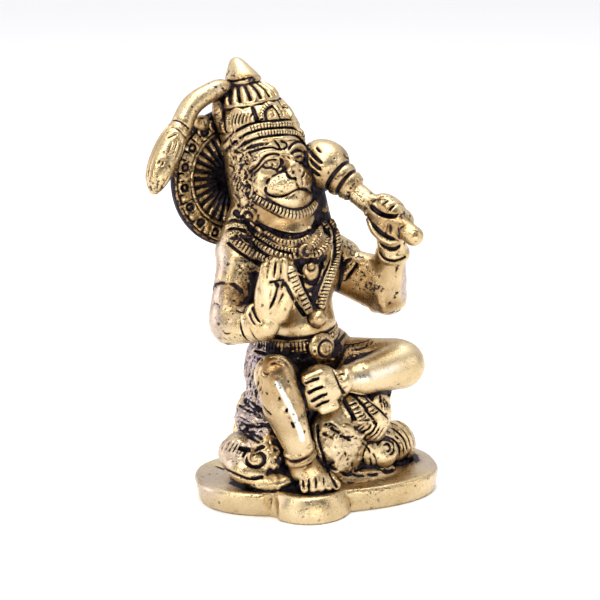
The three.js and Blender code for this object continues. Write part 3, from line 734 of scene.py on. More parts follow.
def make_fist(s):
    """The left hand wrapped round the shaft."""
    g = s.g
    s.figure()
    R, L = s.fist_axis
    # heel of the hand, below the shaft
    g.add(ell((15.1, -9.4, 71.4), (3.8, 4.0, 5.5), R), 0.5)
    s.limb((18.2, -7.4, 63.6), (16.8, -8.8, 69.4), 3.6, 3.9, k=0.8)
    # rounded back of the fingers, over the shaft
    g.add(ell((15.9, -9.6, 76.0), (3.1, 3.7, 5.0), R), 0.3)
    g.add(ell((18.7, -10.2, 73.1), (3.0, 3.2, 3.7), R), 0.5)


def make_legs(s):
    g = s.g
    s.figure()
    # right leg: knee up, shin down the front of the rock
    s.limb((-8.4, 1.0, 33.0), (-15.0, -9.0, 36.0), 6.1, 5.1, k=1.2)
    s.ell((-15.3, -10.0, 36.8), (4.9, 4.8, 5.0), k=0.8)
    s.limb((-15.6, -10.2, 37.2), (-14.0, -12.0, 29.4), 5.0, 5.1, k=0.8)
    s.limb((-14.0, -12.0, 29.4), (-9.6, -11.6, 17.4), 5.1, 3.5, k=0.8)
    s.limb((-14.2, -13.4, 34.6), (-9.0, -13.6, 18.2), 3.1, 2.2, k=1.0)
    # foot
    s.limb((-9.0, -10.6, 15.0), (-7.9, -10.6, 11.2), 3.5, 3.7, k=0.8)
    s.limb((-7.6, -10.4, 11.6), (-6.3, -14.2, 9.2), 3.9, 3.5, k=0.8)
    s.limb((-4.6, -10.4, 9.8), (-3.0, -14.6, 8.6), 2.6, 2.2, k=0.7)
    toes = [((-9.2, -13.0, 9.4), (-9.9, -15.9, 8.2), 1.25, 1.05), ((-7.5, -13.6, 9.5), (-7.9, -16.4, 8.2), 1.3, 1.1),
            ((-5.8, -13.8, 9.5), (-5.9, -16.7, 8.2), 1.3, 1.1), ((-4.1, -13.8, 9.4), (-3.9, -16.8, 8.2), 1.3, 1.1),
            ((-2.4, -13.2, 9.3), (-1.7, -16.3, 8.2), 1.65, 1.45)]
    for a, b, ra, rb in toes:
        s.limb(a, b, ra, rb, k=0.22)
    # left leg: folded flat, foot in front of the lap
    s.limb((4.8, 1.4, 34.7), (20.0, -4.6, 33.9), 6.5, 6.6, k=1.2)
    s.ell((20.8, -5.6, 34.1), (6.9, 6.7, 6.4), k=0.8)
    s.limb((21.2, -6.6, 34.0), (8.0, -11.2, 33.8), 6.2, 4.4, k=0.8)
    s.limb((8.0, -11.2, 33.8), (1.8, -12.2, 34.2), 4.4, 2.9, k=0.8)


def make_left_foot(s):
    s.figure()
    s.ell((-4.7, -12.2, 32.9), (5.6, 3.9, 6.0), turned(-8, 0, 24), k=0.4)
    s.ell((-1.4, -12.4, 32.6), (3.4, 3.6, 4.6), turned(-8, 0, 24), k=0.8)
    for i in range(5):
        a = (-5.0 + 0.95 * i, -14.2, 37.0 - 2.15 * i)
        b = (-8.6 + 1.1 * i, -14.0, 36.0 - 2.1 * i)
        s.limb(a, b, 1.55 - 0.05 * i, 1.5 - 0.06 * i, k=0.6)
    # band round the ankle
    R = axes((1, -0.1, -0.25), (0, 0, 1))
    s.g.add(ring((2.2, -11.9, 33.8), R, 3.0, 1.0, 1.4), 0.25)


def make_head(s):
    g = s.g
    s.head()
    # skull, cheeks and jaw
    s.ell((0, 2.2, 3.0), (9.8, 9.4, 11.4), k=1.0)
    s.ell((0, 0.2, -4.4), (9.8, 7.9, 8.8), k=1.5)
    s.ell((0.8, -0.6, -8.0), (9.2, 6.7, 5.9), k=1.2)
    s.ell((0, -1.2, 5.2), (8.8, 6.6, 6.0), k=1.5)
    for m in (-1, 1):
        s.ell((m * 5.8, -3.2, 0.0), (3.3, 3.2, 4.2), k=1.5)
    # muzzle: one broad mass, the lower lip a little back
    s.ell((0, -5.1, -0.7), (7.1, 4.8, 3.9), k=2.2)
    s.ell((0, -6.9, -0.3), (3.4, 3.4, 2.5), k=1.5)
    s.ell((0.5, -4.5, -4.7), (5.8, 4.2, 3.2), k=0.7)
    # nose, short and flat, with a wedge of a bridge
    s.limb((0.2, -6.0, 8.0), (0.35, -8.6, 3.1), 1.0, 1.75, k=0.8)
    for m in (-1, 1):
        s.ell((0.4 + m * 1.5, -8.9, 2.0), (1.15, 1.2, 1.1), k=0.5)
        s.ell((m * 2.5, -5.5, 3.6), (1.9, 2.3, 2.6), k=1.5)
    # chin down to the throat
    s.limb((0, 0.6, -7), (1, 3.4, -14), 6.0, 5.2, k=1.5)


def face_lines(s):
    s.head()
    s.ink = 1.25
    S = lambda pts, sp=0.32: s.seen(spline(np.array(pts, float), sp * 4.05))
    for m in (-1, 1):
        # a shallow almond socket with a lidded eye
        s.g.cut(ell((m * 3.95, -9.3, 5.0), (3.0, 2.3, 1.7), turned(m * 20, 0, m * 8)), 0.8, stain=0.0001)
        s.ell((m * 3.9, -5.9, 4.9), (2.15, 1.25, 1.1), turned(m * 22, 0, m * 6), k=0.2)
    # arched brows, rolled and smooth, thin at the temple
    s.ridge(S([(287, 153.8), (283, 152), (277, 150.4), (270, 150), (263, 152), (257, 157), (253, 162.5), (250, 168.5)]), 0.8, 0.62, k=0.25, taper=True)
    s.ridge(S([(288.5, 153), (291.5, 149), (295.5, 146), (300, 145.5), (303.5, 148), (305.5, 152.5)]), 0.62, 0.5, k=0.2, taper=True)
    s.groove(S([(251.3, 171.2), (256, 167.3), (260, 162.3), (264, 157.2), (268.5, 154.3), (273.5, 153.6), (279, 155)]), 0.28, 0.5)
    s.groove(S([(262.5, 160.6), (266.5, 157.0), (271, 155.8), (275.5, 156.5)]), 0.17, 0.2, taper=True)
    # near eye: lids drawn as an almond
    s.groove(S([(253.5, 173.4), (257.5, 170.5), (262, 166.2), (265.5, 162.2), (270, 160), (276, 159.6)]), 0.25, 0.42)
    s.groove(S([(263.8, 165.9), (267.5, 163.4), (272, 162.3), (277, 161.4)]), 0.2, 0.3, taper=True)
    s.groove(S([(263, 166.5), (266, 168.2), (270, 167.8), (273.5, 168.8), (277.5, 170.2)]), 0.32, 0.46)
    s.pits(S([(272.3, 164.9), (272.8, 165)]), 0.4, 0.42)
    s.groove(S([(279.3, 157.6), (281.8, 160.5), (281.4, 164.5), (279.2, 168), (276, 169.8)]), 0.42, 0.5, taper=True)
    s.groove(S([(275.5, 170.8), (280, 171.4), (284.5, 169.6)]), 0.34, 0.4, taper=True)
    # far eye
    s.groove(S([(290, 155), (293.2, 152.2), (297, 150.6), (301, 150.6), (304.5, 153)]), 0.36, 0.55, taper=True)
    s.groove(S([(286.8, 154.8), (290, 157.8), (294.3, 160.2)]), 0.36, 0.5, taper=True)
    s.ridge(S([(293.5, 157.2), (297, 154.8), (301, 154.4), (304.5, 157)]), 0.3, 0.25, k=0.1, taper=True)
    s.groove(S([(297.3, 157.3), (300, 156.4), (303, 156.6)]), 0.26, 0.36, taper=True)
    s.groove(S([(294, 159.4), (298, 161.8), (303, 163), (306.5, 162)]), 0.36, 0.55, taper=True)
    s.groove(S([(305.5, 165.5), (307.2, 167.8), (308.3, 170.2)]), 0.24, 0.34, taper=True)
    # wing of the nose, running out into the crease over the muzzle
    s.groove(S([(283.4, 167.5), (285.2, 171.8), (288, 175.9), (291.5, 178.3), (295.8, 177.8)]), 0.38, 0.62)
    s.groove(S([(284.4, 171.8), (278.5, 173.3), (273.5, 175.8), (270, 178.4)]), 0.2, 0.26, taper=True)
    s.groove(S([(270.2, 177.8), (267.4, 180.6), (266.2, 184.8)]), 0.36, 0.5, taper=True)
    s.groove(S([(305.0, 171.5), (304.4, 175.2), (301.8, 176.6)]), 0.26, 0.4, taper=True)
    # nostrils
    for q, r in (((293.8, 172.4), 0.52), ((300.9, 170.9), 0.44)):
        P, N, ok = s.seen([q])
        s.g.op(ball(P[0] + N[0] * -0.1, r), 0.1, "cut", soft=0.3)
    # lip cleft and mouth line
    s.groove(S([(295.2, 177.4), (296.2, 181), (297.6, 185.4), (299.4, 188.6)]), 0.27, 0.48)
    s.groove(S([(302.3, 176.4), (303.0, 180.5), (303.4, 184.8), (301.9, 188.3)]), 0.27, 0.48)
    s.groove(S([(265.8, 188.0), (265.3, 191.2), (267.5, 194.4), (272, 196.2), (278, 197.0), (283.5, 196.4), (289, 194.1), (294.5, 191.2), (298.8, 189.4), (303, 189.2), (307.5, 190.6), (311.5, 193)]), 0.4, 0.75)
    s.groove(S([(287.5, 197), (292, 196.6), (296, 193.2)]), 0.16, 0.2, taper=True)
    # edge of the cheek over the beard, and the fold below the lower lip
    s.groove(S([(253, 187.5), (259.5, 191.5), (266, 197), (271, 200.3), (276.5, 203.6), (282.5, 206.8)]), 0.18, 0.22)
    # muzzle dots
    for q in ((278.5, 176.6), (282.2, 177.2), (279, 179.3), (281.2, 181.3), (276, 185), (279.2, 184.2), (282.5, 183), (284.6, 187), (276.6, 190.4), (281.6, 192.2), (287.2, 182.2),
              (289.8, 181), (292.6, 181.8), (288, 185.2), (291.6, 186.6), (287.6, 189.4), (272.5, 184), (272.8, 188.8), (275, 180.5), (285.5, 179.6), (308, 176.4), (309.6, 179.4), (308, 183), (296.8, 197.4), (303.4, 199.6)):
        s.pits(s.seen([q]), 0.27, 0.34)
    s.ink = 1.0
    # brown beside the nose, on the forehead and along the jaw, partly tarnish and partly painted shade
    for q, r, much in (((287, 163), (1.0, 2.0, 2.4), 0.75), ((292, 168), (1.6, 2.0, 1.0), 0.5), ((309, 180), (1.6, 3.0, 4.4), 0.7), ((307, 200), (2.4, 3.0, 2.0), 0.6), ((300, 138), (4.0, 3.0, 1.6), 0.45), ((262, 212), (3.6, 3.0, 1.6), 0.8),
                       ((250, 170), (1.4, 2.0, 2.6), 0.35)):
        P, N, ok = s.seen([q])
        s.brown(P[0], r, much=much, soft=1.1)


def under_jaw(s):
    """The jaw stands proud of the throat, with a groove under it and painted shade in brown on the throat below."""
    s.head()
    path = [(a, -13.9 + 8.2 * (abs(a) / 100) ** 1.7) for a in np.linspace(-100, 100, 40)]
    hit = s.wrap(np.array(path), (0, 1.6))
    s.groove(hit, 0.8, 1.2, k=0.4)
    for q, r, much in (((265, 218), (4.0, 3.0, 2.2), 0.85), ((285, 226), (4.5, 3.0, 1.6), 0.8), ((302, 222), (4.0, 3.0, 2.0), 0.6), ((258, 211), (2.4, 3.0, 2.4), 0.9)):
        P, N, ok = s.seen([q])
        s.brown(P[0], r, much=much, soft=1.0)


def beard(s):
    """A combed band from ear to ear, and the groove that parts it from the cheeks."""
    s.head()
    n = 41
    path = []
    for i in range(n):
        t = -1 + 2 * i / (n - 1)
        a = abs(t)
        path.append((t * 97 + 4 * (1 - t * t), -9.0 + 12.1 * a ** (1.65 if t < 0 else 2.5)))
    hit = s.wrap(np.array(path), (0, 1.0))
    s.ridge(hit, 1.15, 0.75, k=0.35)
    inner = [(a * 0.99, z + 1.35) for a, z in path]
    s.groove(s.wrap(np.array(inner), (0, 1.0)), 0.2, 0.24, k=0.2)
    s.groove(s.wrap(np.array([(a, z - 1.5) for a, z in path]), (0, 1.0)), 0.2, 0.2)
    s.hatch(s.wrap(np.array(path), (0, 1.0)), 1.9, 0.98, 0.26, 0.5)


CROWN = [(9.5, 7.6), (9.9, 10.4), (9.3, 11.4), (9.5, 13.2), (8.6, 14.2), (8.7, 16.8), (7.6, 19.6), (6.7, 20.4), (5.4, 22.8), (4.0, 24.8),
         (3.5, 25.8), (0.1, 26.4)]
FINIAL = [(4.2, 24.6), (4.65, 25.0), (4.6, 25.5), (3.95, 26.9), (3.1, 28.2), (2.4, 29.3), (1.85, 30.2), (1.15, 30.95), (0.4, 31.25)]


def make_crown(s):
    g = s.g
    s.head()
    g.add(lathe((0, 0.2, 0), None, CROWN, rd=0.2, lean=0.27), 0.5)
    g.add(lathe((0.45, 0.2, 0), None, FINIAL, rd=0.12, lean=0.27), 0.12)
    s.ell((6.9, -0.2, 12.2), (2.4, 3.1, 3.6), k=1.4)

    def at(a, z, r):
        a = math.radians(a)
        return np.array([r * math.sin(a), 0.2 + 0.27 * z - r * math.cos(a), z])

    # gadroons with black clefts, a beaded ring over them and a ledge below
    n = 18
    for i in range(n):
        a = 360.0 * i / n + 4
        if abs((a + 180) % 360 - 180) > 118:
            continue
        P = np.array([at(a, z, r) for z, r in ((20.6, 7.1), (21.6, 6.7), (22.8, 5.7), (23.9, 4.7))])
        s.chain(P, [0.98, 1.0, 0.9, 0.62], k=0.12)
    for i in range(n):
        a = 360.0 * (i + 0.5) / n + 4
        if abs((a + 180) % 360 - 180) > 112:
            continue
        P = np.array([at(a, z, r) for z, r in ((20.7, 7.7), (21.7, 7.3), (22.8, 6.3), (23.9, 5.1))])
        s.chain(P, [0.4, 0.42, 0.38, 0.26], k=0.1, mode="cut")
    for i in range(28):
        a = 360.0 * i / 28
        s.g.add(ball(at(a, 25.05, 3.9) + np.array([0.15, 0, 0]), 0.52), 0.1)
    s.chain(np.array([at(a, 20.0, 7.6) for a in np.linspace(-118, 118, 60)]), 0.46, k=0.12)
    s.chain(np.array([at(a, 19.35, 7.95) for a in np.linspace(-118, 118, 60)]), 0.26, k=0.1, mode="cut")
    s.chain(np.array([at(a, 24.35, 4.75) for a in np.linspace(-118, 118, 40)]), 0.26, k=0.1, mode="cut")
    s.chain(np.array([at(a, 25.7, 4.15) + np.array([0.25, 0, 0]) for a in np.linspace(-180, 180, 60)]), 0.3, k=0.1, mode="cut")

    # arched plaques, each one smooth shield
    plaques = ((4, 30), (-56, 27), (64, 27), (-114, 25), (121, 25))
    for a0, wide in plaques:
        def shield(x, y, z, a0=a0, wide=wide):
            u = y - f32(0.2) - f32(0.27) * z
            q = np.sqrt(x * x + u * u) + f32(1e-6)
            ang = np.degrees(np.arctan2(x, -u)) - f32(a0)
            ang = (ang + f32(180)) % f32(360) - f32(180)
            v = np.clip((z - f32(14.0)) / f32(5.6), -0.5, 1.4)
            w = f32(wide) * np.clip(1 - np.maximum(v, 0) ** f32(2.1), 0, 1) ** f32(0.62)
            side = (np.abs(ang) - w) * f32(math.pi / 180) * q * f32(0.8)
            R = np.interp(z, [13.5, 15.5, 17, 19.8], [9.55, 9.7, 9.45, 8.3]).astype(f32) + f32(0.45 if a0 == 64 else 0) * np.clip((f32(18.0) - z) / f32(3.0), 0, 1)
            top = q - R
            out = round_max(round_max(side, top, 0.5), f32(14.0) - z, 0.3)
            return np.where(q < 4, f32(3.0), out)
        A = np.array([at(a0 + t * wide, z, 10) for t in (-1, 0, 1) for z in (14, 19.8)])
        B = np.array([at(a0 + t * wide, z, 6) for t in (-1, 0, 1) for z in (14, 19.8)])
        C = np.vstack([A, B])
        g.add((shield, C.min(0), C.max(0)), 0.15)
    edge = [(-0.86, 0.02), (-0.9, 0.25), (-0.84, 0.5), (-0.64, 0.72), (-0.34, 0.88), (0, 0.96), (0.34, 0.88), (0.64, 0.72), (0.84, 0.5), (0.9, 0.25), (0.86, 0.02)]
    for a0, wide in plaques:
        def q(pts, sp=1.2):
            P = spline([(a0 + u * wide, 14.0 + 5.6 * v) for u, v in pts], sp)
            return s.wrap(P, (0, 0.2), R=14, lean=0.27)
        if a0 == 4:
            # a drop in a pointed arch, and strokes round the border
            s.hatch(q([(-0.8, 0.12), (-0.84, 0.34), (-0.74, 0.57), (-0.5, 0.76), (-0.2, 0.88), (0, 0.92)]), 1.0, 0.8, 0.17, 0.34)
            C = lambda pts: s.seen(spline(np.array(pts, float), 1.3))
            s.groove(C([(266.6, 119), (265.4, 113.4), (267.2, 108.8), (271.2, 106.2)]), 0.4, 0.7)
            s.groove(C([(271.2, 106.2), (275.6, 109), (278.8, 114), (280.6, 118.6)]), 0.34, 0.62)
            s.groove(C([(269.6, 116.6), (268.6, 113.4), (271, 109.8), (273.8, 112.2), (274.4, 115), (272.4, 117)]), 0.2, 0.36)
            s.pits(C([(271.6, 114.4), (272, 114.6)]), 0.3, 0.3)
            s.groove(C([(276.6, 104.6), (281.6, 110.8), (284.4, 117)]), 0.24, 0.42, taper=True)
            s.groove(C([(280.4, 104.6), (285.0, 110.4), (287.6, 116)]), 0.24, 0.42, taper=True)
        else:
            sg = 1 if a0 > 0 else -1
            for t in (-0.9, -0.68, -0.46, -0.24, -0.02, 0.2, 0.42, 0.62):
                s.groove(q([(sg * (t + 0.26), 0.04), (sg * (t + 0.26), 0.26), (sg * (t + 0.14), 0.5), (sg * (t - 0.1), 0.66 + 0.16 * (1 - abs(t)))]), 0.24, 0.46, taper=True)
    # black ground between the plaques
    for a in (-27, 35, -86, 93):
        P = s.wrap(spline([(a, 14.2), (a, 16.5), (a * 1.0, 18.8)], 0.6), (0, 0.2), R=14, lean=0.27)
        s.groove(P, 0.5, 0.8)

    # the temple under the far end of the fillets
    s.ell((7.0, -0.8, 8.4), (1.9, 3.1, 3.6), k=1.2)
    # two beaded fillets, arched up at the front and falling to the ears
    upper = [(-104, 10.2), (-88, 11.2), (-76, 12.2), (-62, 13.1), (-50, 13.75), (-38, 14.15), (-22, 14.3), (-6, 13.9), (15, 13.45), (33, 12.8), (46, 11.2), (58, 8.8), (72, 6.6), (90, 5.2)]
    lower = [(-98, 8.2), (-82, 9.4), (-66, 10.9), (-54, 11.8), (-44, 12.2), (-32, 12.45), (-20, 12.4), (-8, 12.15), (8, 11.75), (22, 11.2), (33, 10.3), (45, 8.7), (58, 6.4), (70, 4.8)]

    def band(pts, up=0.0, a0=-200, a1=200):
        P = spline(pts, 1.6)
        P = P[(P[:, 0] >= a0) & (P[:, 0] <= a1)]
        return s.wrap(P + [0, up], (0, 0.2), R=16, lean=0.27)

    s.ridge(band(upper), 0.74, 0.7, k=0.18)
    s.ridge(band(lower), 0.66, 0.62, k=0.18)
    s.hatch(band(upper, 0, -42, 34), 1.15, 0.8, 0.18, 0.3)
    s.hatch(band(lower, 0, -34, 32), 1.0, 0.8, 0.18, 0.3)
    s.groove(band(upper, 1.0), 0.42, 0.75)
    s.groove(band([(a, (z + w) / 2 + 0.02) for (a, z), w in zip(lower, np.interp([q[0] for q in lower], [q[0] for q in upper], [q[1] for q in upper]))]), 0.42, 0.8)
    s.groove(band(lower, -0.82, -70, 60), 0.26, 0.42)


def finial_marks(s):
    """Patina left round the foot of the finial."""
    s.head()
    for q, r, much in (((244, 76.5), (1.7, 1.5, 0.6), 1.5), ((233, 78), (1.2, 1.5, 0.5), 1.3), ((252, 79), (1.2, 1.5, 0.8), 1.5)):
        P, N, ok = s.seen([q])
        s.g.stain(ell(P[0], r), much, 0.5)
    for q, r, much in (((231.5, 73), (1.1, 2.0, 1.5), 0.95), ((248, 77), (1.6, 2.0, 1.0), 0.95), ((240, 79), (2.4, 2.0, 0.8), 0.8), ((229, 80), (1.6, 2, 1.2), 0.75)):
        P, N, ok = s.seen([q])
        s.fleck(P[0], r, much=much, soft=0.8)
    for q in ((228.5, 71), (233, 71.4), (231, 74.5), (234, 76)):
        s.pits(s.seen([q]), 0.3, 0.3)


def brow_lines(s):
    s.head()
    s.ink = 1.2
    S = lambda pts, sp=0.32: s.seen(spline(np.array(pts, float), sp * 4.05))
    # lines over the brow, running into the mark between them
    s.ridge(S([(262, 145.8), (268, 145), (274, 145.6)]), 0.5, 0.3, k=0.3, taper=True)
    s.groove(S([(249, 152.5), (255, 150.8), (260, 149.2), (265, 148), (270, 147.4), (275, 148), (279.5, 148.8), (283.8, 148.8), (286.8, 146.8), (287.2, 144), (284.6, 142.2), (281.5, 141.6)]), 0.32, 0.62)
    s.groove(S([(275.3, 141.3), (278, 144), (279.7, 146.6), (279.9, 148.6)]), 0.32, 0.62)
    s.groove(S([(244.8, 149), (252, 146.6), (260, 144.4), (266, 143.4), (272, 141.9)]), 0.42, 0.62, taper=True)
    s.groove(S([(263, 140.2), (270, 139.4), (280, 140.1), (289, 140.4), (296, 139.8)]), 0.2, 0.3)
    s.groove(S([(287.8, 151.4), (290, 147.0), (294, 143.2), (298.5, 141.4), (302, 143)]), 0.34, 0.5, taper=True)
    s.ink = 1.0


def hair_and_back(s):
    """Stippled hair at the temples, and the smooth edge where the head stops flat."""
    g = s.g
    s.head()
    for m in (-1, 1):
        s.ell((m * 8.4, 3.0, 0.5), (2.2, 5.0, 12.5), k=1.0)
        s.rough((m * 9.0, 0.0, 2.0), (3.2, 4.4, 13.5), amp=0.3, size=0.8, seed=31 + m, soft=0.7, bias=0.1)
        g.stain(ell((m * 9.6, 0.2, 0.5), (2.4, 5.0, 14.5)), 0.2, 0.8)
        s.fleck((m * 9.4, -0.6, 3.6), (3.4, 5.0, 10.0), much=0.8, soft=0.7)
        s.fleck((m * 9.0, 3.2, -9.0), (3.0, 3.6, 6.0), much=0.8, soft=0.7)
        s.fleck((m * 7.8, -4.0, 8.6), (2.6, 2.6, 3.4), much=0.85, soft=0.7)
    # short curls, row by row, each parted by a dark touch
    rnd = np.random.RandomState(7)
    for m in (-1, 1):
        for j in range(24):
            z = 12.6 - 1.0 * j
            for i in range(6):
                a = m * (64 + 5.6 * i + 2.8 * (j % 2) + (6 if z < -4 else 0) - (8 if z > 7 else 0))
                dz, da, r = rnd.uniform(-0.35, 0.35), rnd.uniform(-1.6, 1.6), rnd.uniform(0.2, 0.38)
                P, N, ok = s.wrap([(a + da, z + dz)], (0, 1.0), R=16, lean=0.1)
                if ok[0] and P[0][1] < 5.6:
                    d = unit(np.cross(N[0], (rnd.uniform(-1, 1), rnd.uniform(-1, 1), rnd.uniform(-1, 1)))) * rnd.uniform(0.1, 0.5)
                    g.op(cone(P[0] - d, P[0] + d, r, r * 0.8), 0.1, "cut", stain=0.95, soft=0.35)
    # ear and ring
    for m in (-1, 1):
        s.ell((m * 9.2, 0.6, -3.0), (1.5, 1.9, 2.6), k=0.3)
        R = axes((m * 1.0, -0.62, 0.0), (0, 0, 1))
        c = np.array([m * 9.9, -0.6, -7.0])
        g.add(ell(c - R[:, 2] * 0.3, (2.3, 2.3, 0.7), R), 0.15)
        g.op(ring(c + R[:, 2] * 0.3, R, 1.15, 0.4), 0.1, "cut")
        g.add(ring(c, R, 1.9, 0.55, 1.2), 0.12)
        g.add(ball(c + R[:, 2] * 0.45, 0.62), 0.05)
    # flat back
    g.op(box((0, 9.2 + 12, 8), (24, 12, 34), rd=0.2), 0.6, "cut", stain=0.0001)


def make_halo(s):
    g = s.g
    s.halo()
    prof = [(0.0, -1.2), (16.6, -1.2), (17.5, -0.7), (17.6, 0.6), (17.0, 1.3), (16.4, 0.9), (12.9, 0.9), (12.4, 1.5), (12.0, 1.2), (11.6, 0.2), (0.0, 0.0)]
    g.add(lathe((0, 0, 0), None, prof, rd=0.0), 0.3)
    g.stain(ring((0, 0, 0.9), None, 14.7, 1.7, 0.45), 1.0, 0.6)
    # thin raised ring and broad rays inside it, on a black ground
    g.add(ring((0, 0, 0.9), None, 12.2, 0.45), 0.15)
    for i in range(30):
        a = math.radians(i * 12 + 3)
        d = np.array([math.cos(a), math.sin(a), 0])
        s.chain(np.array([d * 4.6 + [0, 0, 0.05], d * 11.5 + [0, 0, 0.25]]), [0.34, 0.72], k=0.06)
    g.stain(ell((0, 0, 0.0), (12.1, 12.1, 0.5)), 2.4, 0.25)
    g.stain(ring((0, 0, 0.6), None, 11.8, 0.55, 0.8), 1.6, 0.3)
    g.stain(ell((0, 0, 0.3), (11.8, 11.8, 1.4)), 0.5, 0.4)
    # a thin square frame with a bead in it, a flat block, and so on round
    n = 18
    for i in range(n):
        a = 360.0 / n * i + 4
        ca, sa = math.cos(math.radians(a)), math.sin(math.radians(a))
        Rq = np.array([[ca, -sa, 0], [sa, ca, 0], [0, 0, 1.0]])
        c = np.array([ca, sa, 0]) * 14.75
        g.op(box(c + [0, 0, 1.3], (1.6, 1.5, 0.65), Rq, rd=0.15), 0.1, "add")
        g.op(ell(c + [0, 0, 2.0], (1.35, 1.25, 1.15), Rq), 0.08, "cut", stain=1.6, soft=0.3)
        g.add(ball(c + [0, 0, 1.35], 0.62), 0.05)
        b = a + 180.0 / n
        cb, sb = math.cos(math.radians(b)), math.sin(math.radians(b))
        Rb = np.array([[cb, -sb, 0], [sb, cb, 0], [0, 0, 1.0]])
        g.op(box(np.array([cb, sb, 0]) * 14.6 + [0, 0, 1.25], (1.55, 0.85, 0.6), Rb, rd=0.3), 0.08, "add")
    s.rough((0, 0, 1.6), (17.8, 17.8, 1.4), amp=0.16, size=0.8, seed=77, soft=0.5)
    s.fleck((0, 0, 1.2), (18.4, 18.4, 2.0), much=0.62, soft=0.5)
    g.stain(ring((0, 0, 0.9), None, 17.1, 0.8, 1.2), 1.5, 0.4)
    # dark side of the rim with a fine line
    g.stain(ring((0, 0, -0.4), None, 18.0, 1.25, 1.0), 2.6, 0.25)
    # plain rings on the back
    g.add(ring((0, 0, -1.1), None, 14.6, 0.7), 0.4)
    g.add(ring((0, 0, -1.1), None, 5.5, 0.6), 0.4)
    s.figure()
    # struts that carry it
    s.limb((-11.0, 11.4, 65.0), (-10.0, 12.4, 80.0), 6.0, 6.0, k=0.8)
    s.limb((0.2, 5.6, 82.0), (2.2, 4.4, 68.4), 3.8, 4.6, k=0.6)
    s.limb((2.8, 3.8, 66.6), (9.8, 4.4, 61.4), 4.0, 4.6, k=0.8)


TAIL = [(-1, 10.5, 35, 4.4), (-1.6, 12.4, 46, 3.8), (-4, 14.2, 57, 3.4), (-8.2, 18.4, 69, 3.1), (-12, 20.6, 84, 2.7), (-14.2, 18.2, 98, 2.3),
        (-18.4, 14.6, 104.5, 2.3), (-23.8, 12.8, 103.7, 2.4), (-28.2, 11.8, 101.2, 2.55), (-31.4, 10, 97.0, 2.7)]
TUFT = [(-31.8, 9.8, 96.5, 2.6), (-34.2, 8.6, 93.7, 3.3), (-36.6, 7.4, 90.2, 3.5), (-39.0, 6, 86.2, 3.05), (-40.4, 4.9, 83.0, 1.5)]


def make_tail(s):
    g = s.g
    s.figure()
    T = spline(TAIL, 1.2)
    s.chain(T[:, :3], T[:, 3], k=0.3)
    U = spline(TUFT, 1.0)
    s.chain(U[:, :3], U[:, 3], k=0.3)
    C = lambda pts: s.seen(spline(np.array(pts, float), 1.3))
    s.g.frame(SHIFT, RZ)
    # collar lines and the lines chased down the tuft
    for pts, r in (([(172.5, 120), (178, 120.6), (184, 124), (189.6, 129.2)], 0.24), ([(170.5, 126.5), (176, 127.8), (182, 132.4), (187.6, 139)], 0.3),
                   ([(168, 137.5), (172, 135.4), (176.5, 134)], 0.24)):
        s.groove(C(pts), r, 0.42)
    for pts, r in (([(178.4, 137), (176, 147), (171.6, 158)], 0.2), ([(182, 138.5), (179.4, 150), (174.5, 162)], 0.26), ([(184.8, 141.5), (183, 152), (178, 165)], 0.2),
                   ([(173, 140), (169.5, 149), (166.5, 156)], 0.18), ([(157.6, 165), (160.6, 158.5)], 0.28), ([(161.5, 166.5), (163.6, 160)], 0.24), ([(165, 150), (163.5, 155)], 0.16),
                   ([(171, 172), (166.5, 182), (160.5, 190)], 0.22)):
        s.groove(C(pts), r, 0.4, taper=True)
    axis = U[:, :3]
    tan = unit(axis[-1] - axis[0])
    b = unit(np.cross(tan, (0.3, -1, 0.2)))
    for off, r in ((90, 0.26), (115, 0.2), (140, 0.26), (165, 0.2), (190, 0.26), (-145, 0.2), (-120, 0.26), (-95, 0.2)):
        t = math.radians(off)
        f = unit(np.cross(b, tan))
        d = b * math.sin(t) + f * math.cos(t)
        P = np.array([axis[j] + d * (U[j, 3] * 1.02) for j in range(1, len(U) - 2)])
        s.chain(P, r, k=0.08, mode="cut")
    # black left towards the tip and where the tail meets the crown
    for c, r, much in (((-40.2, 4.4, 84.2), (2.6, 3.2, 2.6), 0.8), ((-37.6, 3.6, 89.6), (1.6, 2.4, 3.6), 0.75), ((-15.6, 15.4, 101.6), (5.0, 4.6, 4.6), 1.0), ((-21.4, 12.6, 103.6), (5.5, 4.0, 3.6), 0.62), ((-27.5, 11.6, 100.6), (5.5, 4.0, 4.5), 0.4)):
        s.fleck(c, r, much=much, soft=1.6)
    g.stain(ell((-15.8, 15.6, 102.6), (3.8, 4.6, 3.4)), 1.1, 2.0)
    g.add(ball((-24.7, 13.6, 96.7), 2.0), 0.3)
    g.stain(ball((-24.4, 13.2, 96.5), 2.3), 1.1, 0.3)
    s.fleck((-22.0, 13.2, 97.6), (4.4, 3.0, 3.4), much=0.9, soft=0.6)
    s.ell((-19.9, 13.4, 98.2), (1.9, 1.6, 4.6), turned(10, 0, -14), k=0.3)
    s.brown((-19.9, 12.6, 98.0), (2.6, 2.6, 5.0), much=0.8, soft=0.8)
    s.brown((-17.4, 14.6, 103.0), (4.0, 4.0, 3.6), much=0.8, soft=2.0)


